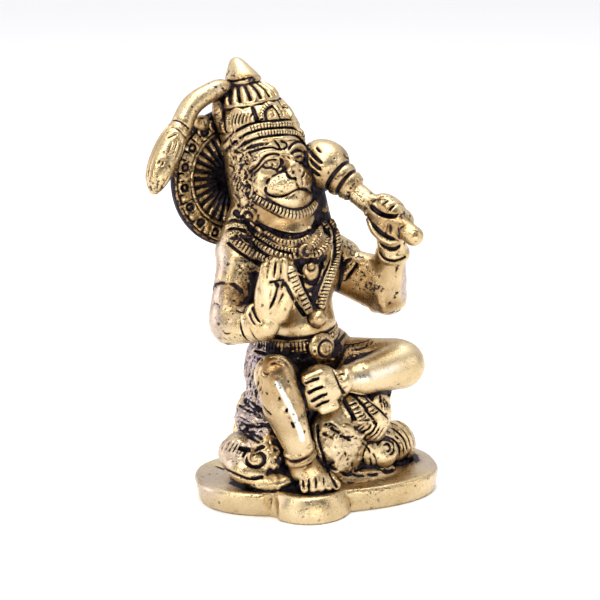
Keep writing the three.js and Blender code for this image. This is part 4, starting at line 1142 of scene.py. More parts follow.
# ------------------------------------------------------------------ ornament and relief
def torso_ornament(s):
    g = s.g
    s.figure()
    S = lambda pts, sp=0.4: s.seen(spline(np.array(pts, float), sp * 4.05))
    # dark hollow between the garlands, kept a little low
    # concentric necklace strips, from the shoulders down to the medallion
    strips = [
        ([(246, 234), (258, 243), (272, 252), (290, 256), (304, 254), (316, 254), (325, 248), (329, 240), (328, 231), (324, 224)], 0.85, 0.95, 1.5),
        ([(256, 233), (266, 241), (279, 248), (294, 250.5), (306, 249), (315, 244.5), (320.5, 236), (319.5, 227)], 0.62, 0.75, 1.1),
        ([(266, 232), (274, 238), (285, 242), (296, 242), (305, 239), (311, 233), (312, 226)], 0.6, 0.6, 1.0),
    ]
    for pts, r, rise, w in strips:
        s.ridge(S(pts), r, rise, k=0.2)
    for (pts, r, rise, w), pitch in zip(strips, (1.15, 0.85, 0.95)):
        s.hatch(S(pts), w, pitch, 0.17, 0.36)
    s.groove(S([(250, 232), (262, 241.5), (276, 249.5), (292, 253.5)]), 0.3, 0.5)
    s.beads(S([(268, 228), (276, 234), (287, 237.5), (298, 236.5), (306, 232), (310, 226)]), 0.5, 1.05, 0.3)
    # broad stroke-cut shoulder band at the left of the chest
    s.ridge(S([(231, 236), (240, 243), (252, 251), (264, 258), (270, 261)]), 1.3, 0.85, k=0.25)
    s.hatch(S([(233, 238), (242, 245), (254, 253), (266, 260)]), 2.3, 0.95, 0.2, 0.4)
    s.groove(S([(236, 235), (246, 242.5), (258, 250), (268, 256)]), 0.36, 0.6)
    s.groove(S([(228, 243), (238, 251), (250, 259), (260, 265)]), 0.42, 0.7)
    # right garland strip, falling from the left shoulder to the ball, and its partner behind the hand
    right = [(331, 222), (336, 233), (338, 245), (337, 256), (334.5, 267), (330, 279), (325, 292), (321, 306)]
    left = [(291, 270), (295, 280), (300, 291), (305, 302), (309.5, 311)]
    s.ridge(S(right), 1.0, 1.0, k=0.2)
    s.ridge(S(left), 1.15, 0.95, k=0.2)
    s.hatch(S(right), 1.9, 0.9, 0.18, 0.36, slant=-0.35)
    s.hatch(S(left), 2.0, 1.25, 0.24, 0.42)
    s.groove(S([(327, 230), (331.5, 240), (332, 252), (329, 264), (324, 277), (318.5, 290), (314.5, 303)]), 0.42, 0.7)
    s.groove(S([(299, 277), (304, 288), (309, 298), (313, 305)]), 0.45, 0.7)
    s.groove(S([(286, 284), (291, 294), (297, 305), (304, 315)]), 0.45, 0.7)
    # hollow between them
    for c in ((297, 262), (302, 263), (308, 263), (314, 262), (320, 261), (325, 258), (300, 270), (306, 272), (312, 272), (318, 271), (323, 267), (304, 280), (309, 281), (314, 281), (319, 278), (308, 290), (313, 290), (317, 287), (311, 299), (315, 297), (313, 306)):
        P, N, ok = s.seen([c])
        g.stain(ball(P[0], 0.8), 2.3, 0.45)
    for c, r in (((322, 268), 1.3), ((318, 280), 1.2), ((314, 291), 1.0), ((322, 257), 0.9), ((296, 266), 0.9), ((299, 258), 0.6)):
        P, N, ok = s.seen([c])
        g.op(ell(P[0] + N[0] * 0.5, (r * 1.1, r, r * 1.5)), 0.5, "cut")
    # medallion with a ring and a dot
    P, N, ok = s.seen([(305.3, 251)])
    R = axes(N[0] + np.array([0, -0.4, 0]), (1, 0, 0))
    c = P[0] + R[:, 2] * 0.35
    g.add(ell(c, (1.95, 1.95, 1.2), R), 0.15)
    g.op(ring(c + R[:, 2] * 1.1, R, 1.05, 0.46), 0.05, "cut", stain=2.9, soft=0.31)
    g.op(ball(c + R[:, 2] * 1.3, 0.4), 0.05, "cut", stain=1.2, soft=0.2)
    g.op(ring(c - R[:, 2] * 0.1, R, 2.35, 0.45), 0.06, "cut", stain=1.2, soft=0.25)
    # drop pendant: a cup with a bead over it
    P, N, ok = s.seen([(309, 269)])
    R = axes(N[0] + np.array([0.1, -0.6, 0]), (1, 0, 0.12))
    c = P[0] + R[:, 2] * 0.2
    c = c + R[:, 2] * 0.45
    g.add(ell(c - R[:, 1] * 0.3, (2.35, 2.7, 1.1), R), 0.12)
    g.op(ell(c + R[:, 1] * 1.3 + R[:, 2] * 0.9, (1.5, 1.5, 1.0), R), 0.15, "cut")
    g.add(ball(c + R[:, 1] * 1.1 + R[:, 2] * 0.35, 1.0), 0.08)
    for i in range(5):
        a = math.radians(-150 + 30 * i)
        d = R[:, 0] * math.cos(a) + R[:, 1] * math.sin(a)
        g.op(cone(c + d * 1.1 + R[:, 2] * 1.05, c + d * 1.9 + R[:, 2] * 0.8, 0.17, 0.14), 0.05, "cut")
    s.groove(S([(297, 262), (301, 272), (308, 282), (315, 284), (320, 275), (321.5, 263)]), 0.4, 0.65)
    s.ridge(S([(325.5, 257), (323, 268), (317.5, 282)]), 0.34, 0.3, k=0.1)
    # ball where the garlands meet
    P, N, ok = s.seen([(316.5, 318.5)])
    g.add(ball(P[0] + N[0] * 0.7 + np.array([0, -0.2, 0]), 2.35), 0.15)
    # dark strands and specks where the hair falls on the shoulder
    s.fleck((-15.6, -0.6, 66.6), (6.0, 6.0, 5.0), much=0.72, soft=1.6)
    s.fleck((-9.6, -5.0, 66.4), (6.0, 5.0, 3.4), much=0.5, soft=1.2)
    for pts in ([(232, 236), (243, 233.5), (256, 238)], [(240, 224), (250, 227), (260, 234)], [(236, 229), (247, 229.5), (258, 234)], [(244, 219), (254, 224), (264, 231)]):
        s.groove(S(pts), 0.3, 0.5, taper=True)
    for q, r, much in (((236, 240), (5.0, 5.0, 2.2), 0.8), ((254, 238), (5.5, 5.0, 2.4), 0.85), ((246, 226), (5.0, 5.0, 2.6), 0.85), ((268, 246), (5.0, 4.0, 2.0), 0.6), ((320, 240), (4.0, 4.0, 4.0), 0.45)):
        P, N, ok = s.seen([q])
        s.fleck(P[0], r, much=much, soft=1.0)
    for q, r, much in (((258, 244), (9.0, 5.0, 4.0), 0.5), ((300, 246), (9.0, 5.0, 4.0), 0.45)):
        P, N, ok = s.seen([q])
        s.brown(P[0], r, much=much, soft=2.0)
    # curls of hair on the right shoulder
    for pts, r in (([(226, 226), (236, 225.5), (248, 229)], 0.9), ([(227, 234), (237, 232.5), (246, 235)], 0.8), ([(250, 222), (257, 227), (262, 233)], 0.6)):
        s.ridge(S(pts), r, 0.55, k=0.25, taper=True)
    for pts in ([(226, 230), (238, 229), (250, 233)], [(226, 221), (238, 220), (249, 224)], [(230, 239), (238, 238)]):
        s.groove(S(pts), 0.45, 0.7, taper=True)


def belt_and_buckle(s):
    g = s.g
    s.figure()
    c0 = (-3.0, 2.2)
    # a stroke-cut belt all the way round
    n = 100
    pts = np.array([(a, 43.4 + 1.3 * math.sin(math.radians(a)) - 0.8 * math.cos(math.radians(a))) for a in np.linspace(-180, 180, n)])
    hit = s.wrap(pts, c0, R=16)
    ok = hit[2] & (np.linalg.norm(hit[0][:, :2] - np.array(c0), axis=1) < 12.8)
    hit = (hit[0], hit[1], ok)
    s.ridge((hit[0] - np.array([0, 0, 0.9]), hit[1], hit[2]), 1.3, 0.6, k=0.25)
    s.ridge((hit[0] + np.array([0, 0, 0.6]), hit[1], hit[2]), 1.3, 0.6, k=0.25)
    hit2 = s.wrap(pts, c0, R=16)
    hit2 = (hit2[0], hit2[1], hit2[2] & ok)
    s.hatch(hit2, 2.6, 0.98, 0.2, 0.36)
    for dz in (2.2, -2.4, 1.3, -1.5):
        h = s.wrap(pts + np.array([0, dz]), c0, R=16)
        s.groove((h[0], h[1], h[2] & (np.linalg.norm(h[0][:, :2] - np.array(c0), axis=1) < 12.8)), 0.4 if abs(dz) > 2 else 0.16, 0.6 if abs(dz) > 2 else 0.2)
    # gathered cloth of the lap, below the belt, with painted shade between the knees: stain, brown and specks
    s.rough((-2, -6.5, 38.5), (7.5, 5.0, 2.2), amp=0.4, size=1.1, seed=41)
    g.stain(ell((2.0, -7.0, 40.5), (9.0, 5.0, 2.6)), 0.45, 1.8)
    s.fleck((1.0, -7.0, 39.5), (10.0, 6.0, 3.6), much=0.6, soft=1.6)
    for q, r, much in (((285, 345), (6.5, 5.0, 2.2), 0.35), ((300, 357), (7.5, 5.0, 2.6), 1.0), ((335, 360), (5.5, 5.0, 2.6), 0.9), ((347, 341), (4.5, 5.0, 2.6), 0.9), ((360, 345), (5.5, 5.0, 2.2), 0.6)):
        P, N, ok = s.seen([q])
        s.brown(P[0], r, much=much * 0.8, soft=1.6)
        s.fleck(P[0], r, much=0.6 * much if q[1] > 350 else 0.2, soft=1.2)
    for q, r, much in (((298, 352), 1.6, 1.4), ((306, 362), 1.9, 2.0), ((311, 366), 1.4, 2.0), ((334, 352), 1.5, 2.0), ((338, 345), 1.4, 2.0), ((292, 350), 1.4, 1.6), ((272, 349), 1.8, 1.8)):
        P, N, ok = s.seen([q])
        g.stain(ball(P[0], r), much, 0.8)
    # buckle: a rosette on a disc
    P, N, _ = s.seen([(321, 346.5)])
    R = axes((0.12, -1, 0.12), (1, 0, 0))
    c = P[0] + np.array([0, -0.3, 0])
    g.add(ell(c, (3.65, 3.65, 1.5), R), 0.2)
    for i in range(16):
        a = 2 * math.pi * i / 16
        d = R[:, 0] * math.cos(a) + R[:, 1] * math.sin(a)
        g.op(cone(c + d * 2.3 + R[:, 2] * 1.3, c + d * 3.3 + R[:, 2] * 0.7, 0.17, 0.2), 0.05, "cut")
    ci = c + R[:, 2] * 0.9 + R[:, 0] * 0.55 - R[:, 1] * 0.45
    g.op(ring(ci + R[:, 2] * 0.25, R, 2.15, 0.34), 0.06, "cut", stain=2.0, soft=0.36)
    g.add(ell(ci, (2.0, 2.0, 1.15), R), 0.1)
    g.op(ring(ci + R[:, 2] * 1.02, R, 1.0, 0.3), 0.05, "cut", stain=2.2, soft=0.3)
    g.op(ball(ci + R[:, 2] * 1.3, 0.4), 0.05, "cut", stain=2.2, soft=0.2)



def arm_detail(s):
    g = s.g
    s.figure()
    S = lambda pts, sp=0.4: s.seen(spline(np.array(pts, float), sp * 4.05))
    # dark sunk armlet over the right upper arm
    R = axes((-0.2, -0.12, -1.0), (1, 0, 0))
    s.ink = 2.2
    for pts, r in (([(211, 287.4), (216, 284), (221, 282.8), (226.4, 283.6)], 0.62), ([(228.5, 283.6), (234, 285), (239, 288.6), (244.5, 294)], 0.76)):
        s.groove(S(pts), r, r * 0.6, taper=True)
    s.ink = 1.0
    P, N, ok = s.seen([(236, 292)])
    s.brown(P[0], (4.0, 4.0, 2.6), much=0.8, soft=1.6)
    for pts in ([(247.2, 303), (248.6, 311), (251.4, 320), (257, 328.4)], [(251.4, 302.4), (253.2, 310), (256.6, 318), (262.6, 325)], [(244.8, 306), (245.2, 314), (247.2, 321)]):
        s.groove(S(pts), 0.3, 0.46, taper=True)
    for q in ((218, 280), (227, 279), (236, 289), (222, 291), (243, 277)):
        s.pits(s.seen([q]), 0.26, 0.3)
    for q, r, much in (((214, 286), (2.2, 3.0, 1.2), 1.0), ((226, 285), (3.6, 3.0, 0.7), 0.6), ((246, 272), (2.6, 3.0, 4.6), 0.95), ((243, 294), (2.2, 3.0, 3.0), 0.8), ((240, 309), (2.6, 3.0, 2.0), 0.8), ((226, 306), (3.0, 3.0, 1.4), 0.6),
                       ((222, 262), (3.0, 3.0, 2.0), 0.45), ((236, 335), (4.0, 3.0, 1.6), 0.6), ((222, 322), (4.0, 3.0, 3.0), 0.4)):
        P, N, ok = s.seen([q])
        s.fleck(P[0], r, much=much, soft=0.8)
    # painted reflection: violet tint along the left edges of the upper arm and elbow
    for q, r, much in (((211.5, 296), (1.6, 4.0, 8.0), 0.6), ((213, 330), (2.0, 4.0, 5.0), 0.6), ((219, 258), (1.4, 4.0, 6.0), 0.5)):
        P, N, ok = s.seen([(q[0] + 2.0, q[1])])
        s.ash(P[0], r, much=much, soft=1.2)
    # hollow between the upper arm and the raised hand, blackened as painted shade, and painted shade under the chin
    g.op(ell((-17.6, -4.6, 57.5), (1.6, 3.8, 4.4), turned(10, 0, -6)), 0.6, "cut")
    g.stain(ell((-17.4, -4.0, 57.5), (2.4, 4.4, 6.4), turned(10, 0, -6)), 1.0, 1.0)
    g.stain(ell((3.0, 4.0, 72.0), (5.0, 5.0, 11.0), turned(0, 0, 8)), 1.5, 1.2)
    # pair of bracelets at the right wrist
    d = unit((4.6, -9.0, 2.4))
    for t, r in ((0.78, 4.6),):
        c = np.array([-22.4, 1.2, 48.9]) + np.array([4.6, -9.4, 1.6]) * t
        g.add(ring(c + np.array([0.35, 0, 0]), axes(d, (0, 0, 1)), r - 0.75, 0.85, 1.1), 0.25)
    for t in (0.66, 0.92):
        c = np.array([-22.4, 1.2, 48.9]) + np.array([4.6, -9.4, 1.6]) * t
        g.op(ring(c + np.array([0.35, 0, 0]), axes(d, (0, 0, 1)), 5.0, 0.42), 0.1, "cut")
    # raised right hand: creases
    s.ink = 1.5
    for pts in ([(269.2, 258.5), (268.0, 268), (266.5, 278)], [(276.2, 257.5), (275.2, 267), (273.6, 277.5)], [(282.8, 258.5), (281.4, 269), (279.4, 280)]):
        s.groove(S(pts), 0.36, 0.85)
    s.groove(S([(269.5, 282), (276, 281.4), (286, 279.3)]), 0.28, 0.5, taper=True)
    s.groove(S([(283, 280), (283.5, 284), (281.5, 289)]), 0.55, 0.6, taper=True)
    s.groove(S([(278.4, 283), (276.6, 292), (273.4, 302), (268.8, 311)]), 0.4, 0.75, taper=True)
    s.groove(S([(276.2, 281), (277.4, 284.5), (276.8, 288)]), 0.6, 0.7, taper=True)
    s.groove(S([(269.4, 283.2), (273, 281.2), (277, 281.4)]), 0.34, 0.5, taper=True)
    s.groove(S([(263, 262), (262.4, 270), (263.4, 280)]), 0.16, 0.22, taper=True)
    for pts in ([(283.4, 292), (280.6, 299), (277.6, 305)], [(259.6, 276), (259.4, 288), (261.4, 298)], [(271.8, 288), (270.2, 296), (268, 303)]):
        s.groove(S(pts), 0.16, 0.22, taper=True)
    s.ink = 1.0
    # left arm: leaf on the upper arm, bracelet and finger lines
    s.ridge(S([(343.5, 274.5), (348, 270), (353, 265), (357.5, 260.5)]), 0.75, 0.45, k=0.15, taper=True)
    s.groove(S([(343, 266), (347, 261), (352, 258.5)]), 0.42, 0.55, taper=True)
    s.groove(S([(345, 281), (350, 274), (355, 267), (359.5, 260.5)]), 0.36, 0.5, taper=True)
    d = unit((-1.2, -2.2, 10.0))
    g.add(ring((18.05, -7.3, 64.0), axes(d, (1, 0, 0)), 3.35, 1.05, 1.6), 0.25)
    s.groove(S([(380.5, 244.5), (384.5, 247.6), (390, 249.3), (395.5, 249.2), (399, 247)]), 0.62, 0.95, k=0.15)
    s.groove(S([(379.5, 252), (383, 257.6), (388.5, 260.6), (394, 261.2), (399, 260.2), (406, 257)]), 0.4, 0.75)
    for pts in ([(397.5, 251), (400.5, 253.4)], [(396, 254.5), (399, 254.2)], [(403, 255.2), (406, 254)]):
        s.groove(S(pts), 0.24, 0.3, taper=True)
    # patina on the arm: painted shade in brown on the underside, flecks, and a painted reflection on the pale flat side
    for q, r, much in (((374, 279), (4.6, 4.0, 5.4), 0.7), ((358, 282), (4.6, 4.6, 5.6), 0.85), ((372, 300), (6.0, 5.0, 3.0), 0.8), ((372, 272), (4.4, 4.0, 4.0), 0.55), ((388, 306), (4.0, 4.0, 2.2), 0.9), ((384, 290), (3.6, 4.0, 5.0), 0.5), ((392, 268), (2.0, 4.0, 4.0), 0.4), ((350, 292), (4.0, 4.0, 3.0), 0.6)):
        P, N, ok = s.seen([q])
        s.brown(P[0], r, much=much, soft=2.2)
    for q, r, much in (((347, 246), (3.6, 4.0, 2.2), 0.9), ((352, 256), (3.0, 4.0, 1.6), 0.8), ((372, 287), (2.0, 2.4, 1.5), 1.0), ((380, 289), (1.0, 2.0, 1.2), 0.95), ((361, 273), (1.1, 2.0, 1.2), 1.0), ((355, 283), (1.6, 2.0, 2.6), 0.8), ((366, 294), (3.2, 3.0, 2.2), 0.7), ((376, 305), (4.0, 3.0, 1.6), 0.75),
                       ((397, 267), (0.7, 2.0, 1.6), 1.0), ((396.5, 294), (0.8, 2.0, 1.7), 1.0), ((396, 277), (0.4, 2.0, 0.9), 0.9), ((395, 311), (2.4, 3.0, 0.9), 0.95), ((390, 303), (0.5, 2.0, 0.6), 1.0)):
        P, N, ok = s.seen([q])
        s.fleck(P[0], r, much=much, soft=0.7)
    for q in ((362, 272.5), (364.5, 276), (371, 284), (373.5, 286), (372, 288.5), (370, 290), (378.5, 288), (381, 291), (397, 268), (396.6, 271), (390, 303), (361, 279.5), (359.5, 289), (366, 285)):
        s.pits(s.seen([q]), 0.28, 0.34)
    P, N, ok = s.seen([(404, 280)])
    s.ash(P[0] + np.array([0.6, 0, 0]), (1.5, 5.0, 6.4), much=0.9, soft=0.5)
    s.groove(S([(358, 259.5), (354, 267), (349, 275), (345, 281)]), 0.3, 0.5, taper=True)
    # scratches on the elbow and forearm
    for pts, r in (([(211, 305), (215.5, 303.4), (220.5, 306.5)], 0.2), ([(236, 309.5), (240.5, 312), (246, 311)], 0.3), ([(222, 331), (226, 334.4), (231, 333)], 0.26), ([(215, 342), (221, 344.5)], 0.2),
                   ([(232, 300), (236, 301.5)], 0.22), ([(242, 320), (247, 318)], 0.24), ([(228, 318), (229, 321)], 0.2), ([(216, 326), (218, 328)], 0.2)):
        s.groove(S(pts), r, r * 1.3, taper=True)
    s.fleck((19.5, -2.5, 55.0), (7.5, 7.0, 5.6), much=0.5, soft=2.0)
    g.stain(ell((16.5, -2.0, 55.5), (5.5, 6.5, 4.4)), 0.35, 2.5)
    # fingers over the shaft, the gap under them, thumb
    s.ink = 1.5
    s.groove(S([(368.5, 201.5), (372.5, 208), (379, 213), (387, 216), (394.5, 216.3), (400, 213.5)]), 0.62, 1.05, k=0.2, taper=True)
    s.groove(S([(378, 214), (386, 217), (393, 217.5)]), 0.5, 0.9, k=0.2, taper=True)
    s.groove(S([(380.6, 206.5), (384.5, 202.5), (389.5, 200)]), 0.3, 0.5, taper=True)
    s.groove(S([(388, 212.5), (391.5, 207.5), (396, 204.3)]), 0.32, 0.55, taper=True)
    s.groove(S([(397.5, 202.6), (402, 203.8), (406.5, 207.5)]), 0.3, 0.5, taper=True)
    s.groove(S([(369.5, 219.5), (374, 227), (381, 233.4), (390, 238.8), (399, 241.6)]), 0.62, 1.0, k=0.15, taper=True)
    s.groove(S([(377.5, 197.5), (381, 196.2), (384, 197)]), 0.24, 0.4, taper=True)
    s.groove(S([(376, 200), (380, 199), (386, 199.4)]), 0.22, 0.4, taper=True)
    s.groove(S([(388, 222), (386.6, 230), (384.4, 236)]), 0.2, 0.3, taper=True)
    s.ridge(S([(365.5, 213), (368.5, 222), (374, 231.5), (382, 239.5), (390, 243)]), 0.55, 0.45, k=0.15)
    s.groove(S([(389.5, 224), (391, 229), (390.5, 234)]), 0.28, 0.35, taper=True)
    s.groove(S([(397.8, 226), (398.2, 231), (399.5, 237)]), 0.26, 0.45, taper=True)
    s.groove(S([(399.4, 230.6), (401.4, 227), (406.4, 224.2)]), 0.22, 0.4, taper=True)
    s.groove(S([(371, 203.4), (374, 200.4), (378, 198.6)]), 0.24, 0.4, taper=True)
    s.pits(s.seen([(405, 243)]), 0.5, 0.6)
    s.pits(s.seen([(384, 207)]), 0.3, 0.4)
    s.ink = 1.0
    for q, r, much in (((383, 224), (3.0, 3.0, 2.6), 0.7), ((392, 230), (2.4, 3.0, 2.4), 0.6), ((372, 240), (2.0, 3.0, 3.0), 0.4)):
        P, N, ok = s.seen([q])
        s.brown(P[0], r, much=much, soft=1.2)
    for q, r, much in (((404, 216), (1.6, 3.0, 1.2), 1.0), ((409, 219), (1.2, 3.0, 1.4), 1.0), ((385, 199), (3.0, 3.0, 0.8), 0.7), ((417, 231), (1.0, 3.0, 1.4), 0.8)):
        P, N, ok = s.seen([q])
        s.fleck(P[0], r, much=much, soft=0.7)


def leg_detail(s):
    g = s.g
    s.figure()
    S = lambda pts, sp=0.4: s.seen(spline(np.array(pts, float), sp * 4.05))
    # right knee hem and shin ridge
    s.groove(S([(272, 364), (278, 361.6), (285, 363), (291, 368.5)]), 0.25, 0.35, taper=True)
    s.groove(S([(272, 357.5), (280, 356), (287, 358.5)]), 0.2, 0.3, taper=True)
    edge = S([(277.5, 383), (281.5, 390), (286.5, 400), (291.5, 410.5), (296, 421), (300, 431), (302.5, 440)])
    s.ridge(edge, 0.85, 0.34, k=0.35)
    # painted highlight: the shin's ridge coloured near white as a streak of light
    s.paint_highlight(edge, 0.66)
    for pts, r in (([(278.6, 397), (280.4, 400.5)], 0.3), ([(285.4, 409), (287.6, 413.5)], 0.26), ([(291.5, 422), (294.4, 428.5)], 0.34), ([(288.6, 417), (290, 420)], 0.2)):
        s.groove(S(pts), r, r * 1.4, taper=True)
    # brown, partly tarnish and partly painted shade, on the sides of the shin, the foot and the thigh below the belt
    for q, r, much in (((270, 392), (3.4, 5.0, 9.0), 0.5), ((296, 404), (2.6, 5.0, 9.0), 0.5), ((284, 424), (4.0, 5.0, 4.0), 0.4), ((304, 462), (4.0, 4.0, 3.0), 0.6), ((318, 470), (3.0, 4.0, 2.0), 0.4), ((300, 320), (5.0, 4.0, 3.6), 0.4), ((322, 326), (4.0, 4.0, 3.0), 0.45), ((356, 343), (5.0, 4.0, 1.8), 0.9), ((385, 340), (6.0, 4.0, 1.2), 0.5), ((362, 353), (7.0, 4.0, 1.8), 0.4)):
        P, N, ok = s.seen([q])
        s.brown(P[0], r, much=much, soft=1.8)
    # painted highlights: a pale band along the lower thigh and a patch on the knee
    s.paint_highlight(S([(356, 379), (370, 377), (383, 373), (396, 367.5)]), 0.75, 0.62, 1.5)
    s.paint_highlight(S([(392, 345.5), (399, 346), (405, 348)]), 0.3, 0.4, 1.2)
    # painted shade in brown on the knee where the cloth ends, partly tarnish, with its two hem lines
    P, N, ok = s.seen([(272, 368)])
    s.brown(P[0], (3.6, 3.6, 3.4), much=1.0, soft=2.2)
    P, N, ok = s.seen([(284, 371)])
    s.brown(P[0], (2.6, 3.0, 2.4), much=0.7, soft=1.6)
    s.groove(S([(268, 358), (274, 357.2), (281, 358.6), (287, 362.5), (291.5, 368)]), 0.3, 0.5, taper=True)
    s.groove(S([(269, 364.5), (275, 363), (281, 364), (284, 366)]), 0.3, 0.5, taper=True)
    for pts, r in (([(262, 371), (265, 374.5), (270, 373.5)], 0.34), ([(274, 383), (276.5, 386)], 0.24), ([(287.5, 408), (286, 412.5)], 0.28), ([(283.5, 411), (285.5, 415)], 0.2), ([(279, 398), (280, 400)], 0.2)):
        s.groove(S(pts), r, r * 1.3, taper=True)
    # right anklet: two rolls
    d = unit((5.0, 0.6, -12.0))
    for c, r in (((-9.55, -11.6, 17.3), 3.85), ((-9.0, -11.4, 15.1), 3.9)):
        g.add(ring(c, axes(d, (1, 0, 0)), r - 0.5, 0.8, 1.0), 0.2)
    for c in ((-9.9, -11.7, 18.8), (-9.25, -11.5, 16.2), (-8.8, -11.3, 13.9)):
        g.op(ring(c, axes(d, (1, 0, 0)), 4.4, 0.42), 0.1, "cut")
    # toes: cuts between them, and a nail on the small one
    for x, y0, y1 in ((303.2, 480, 491), (308.8, 478, 491), (316.2, 477, 489), (324.2, 476.5, 486)):
        s.groove(S([(x - 0.6, y0), (x, (y0 + y1) / 2), (x - 0.2, y1)]), 0.36, 0.75, taper=True)
    s.groove(S([(296.5, 486), (298.5, 481.5)]), 0.3, 0.4)
    # left foot: the spaces between its toes
    for a, b in (((306.2, 384.2), (318.2, 379)), ((308.8, 393), (322.2, 387)), ((312.2, 401.4), (326.4, 394.6)), ((316.6, 407.2), (328.4, 401.4))):
        m = ((a[0] + b[0]) / 2, (a[1] + b[1]) / 2 - 0.6)
        s.groove(S([a, m, b]), 0.52, 1.0, k=0.1)
    # bands on the left anklet
    for pts in ([(336.5, 375.5), (341, 374), (345, 373.5)], [(338, 380), (343, 378.5)], [(342.5, 389), (348, 386.5)]):
        s.groove(S(pts), 0.22, 0.3, taper=True)
    s.groove(S([(332.5, 368), (337, 378), (341.5, 389), (345, 396)]), 0.4, 0.6)
    # cloth hem on the left hip
    s.groove(S([(344, 345), (354, 343.5), (364, 341), (374, 338.5)]), 0.3, 0.4, taper=True)
    s.groove(S([(352, 350), (362, 348), (371, 343.5)]), 0.3, 0.4, taper=True)
    for i in range(6):
        x = 347 + 4.6 * i
        s.groove(S([(x, 348 - 0.5 * i), (x + 3.4, 343.5 - 0.7 * i)]), 0.22, 0.3, taper=True)
    # hem of the thigh: fold lines under the left leg
    s.groove(S([(351, 392), (366, 395), (382, 396.5), (392, 394)]), 0.5, 0.8, k=0.2)


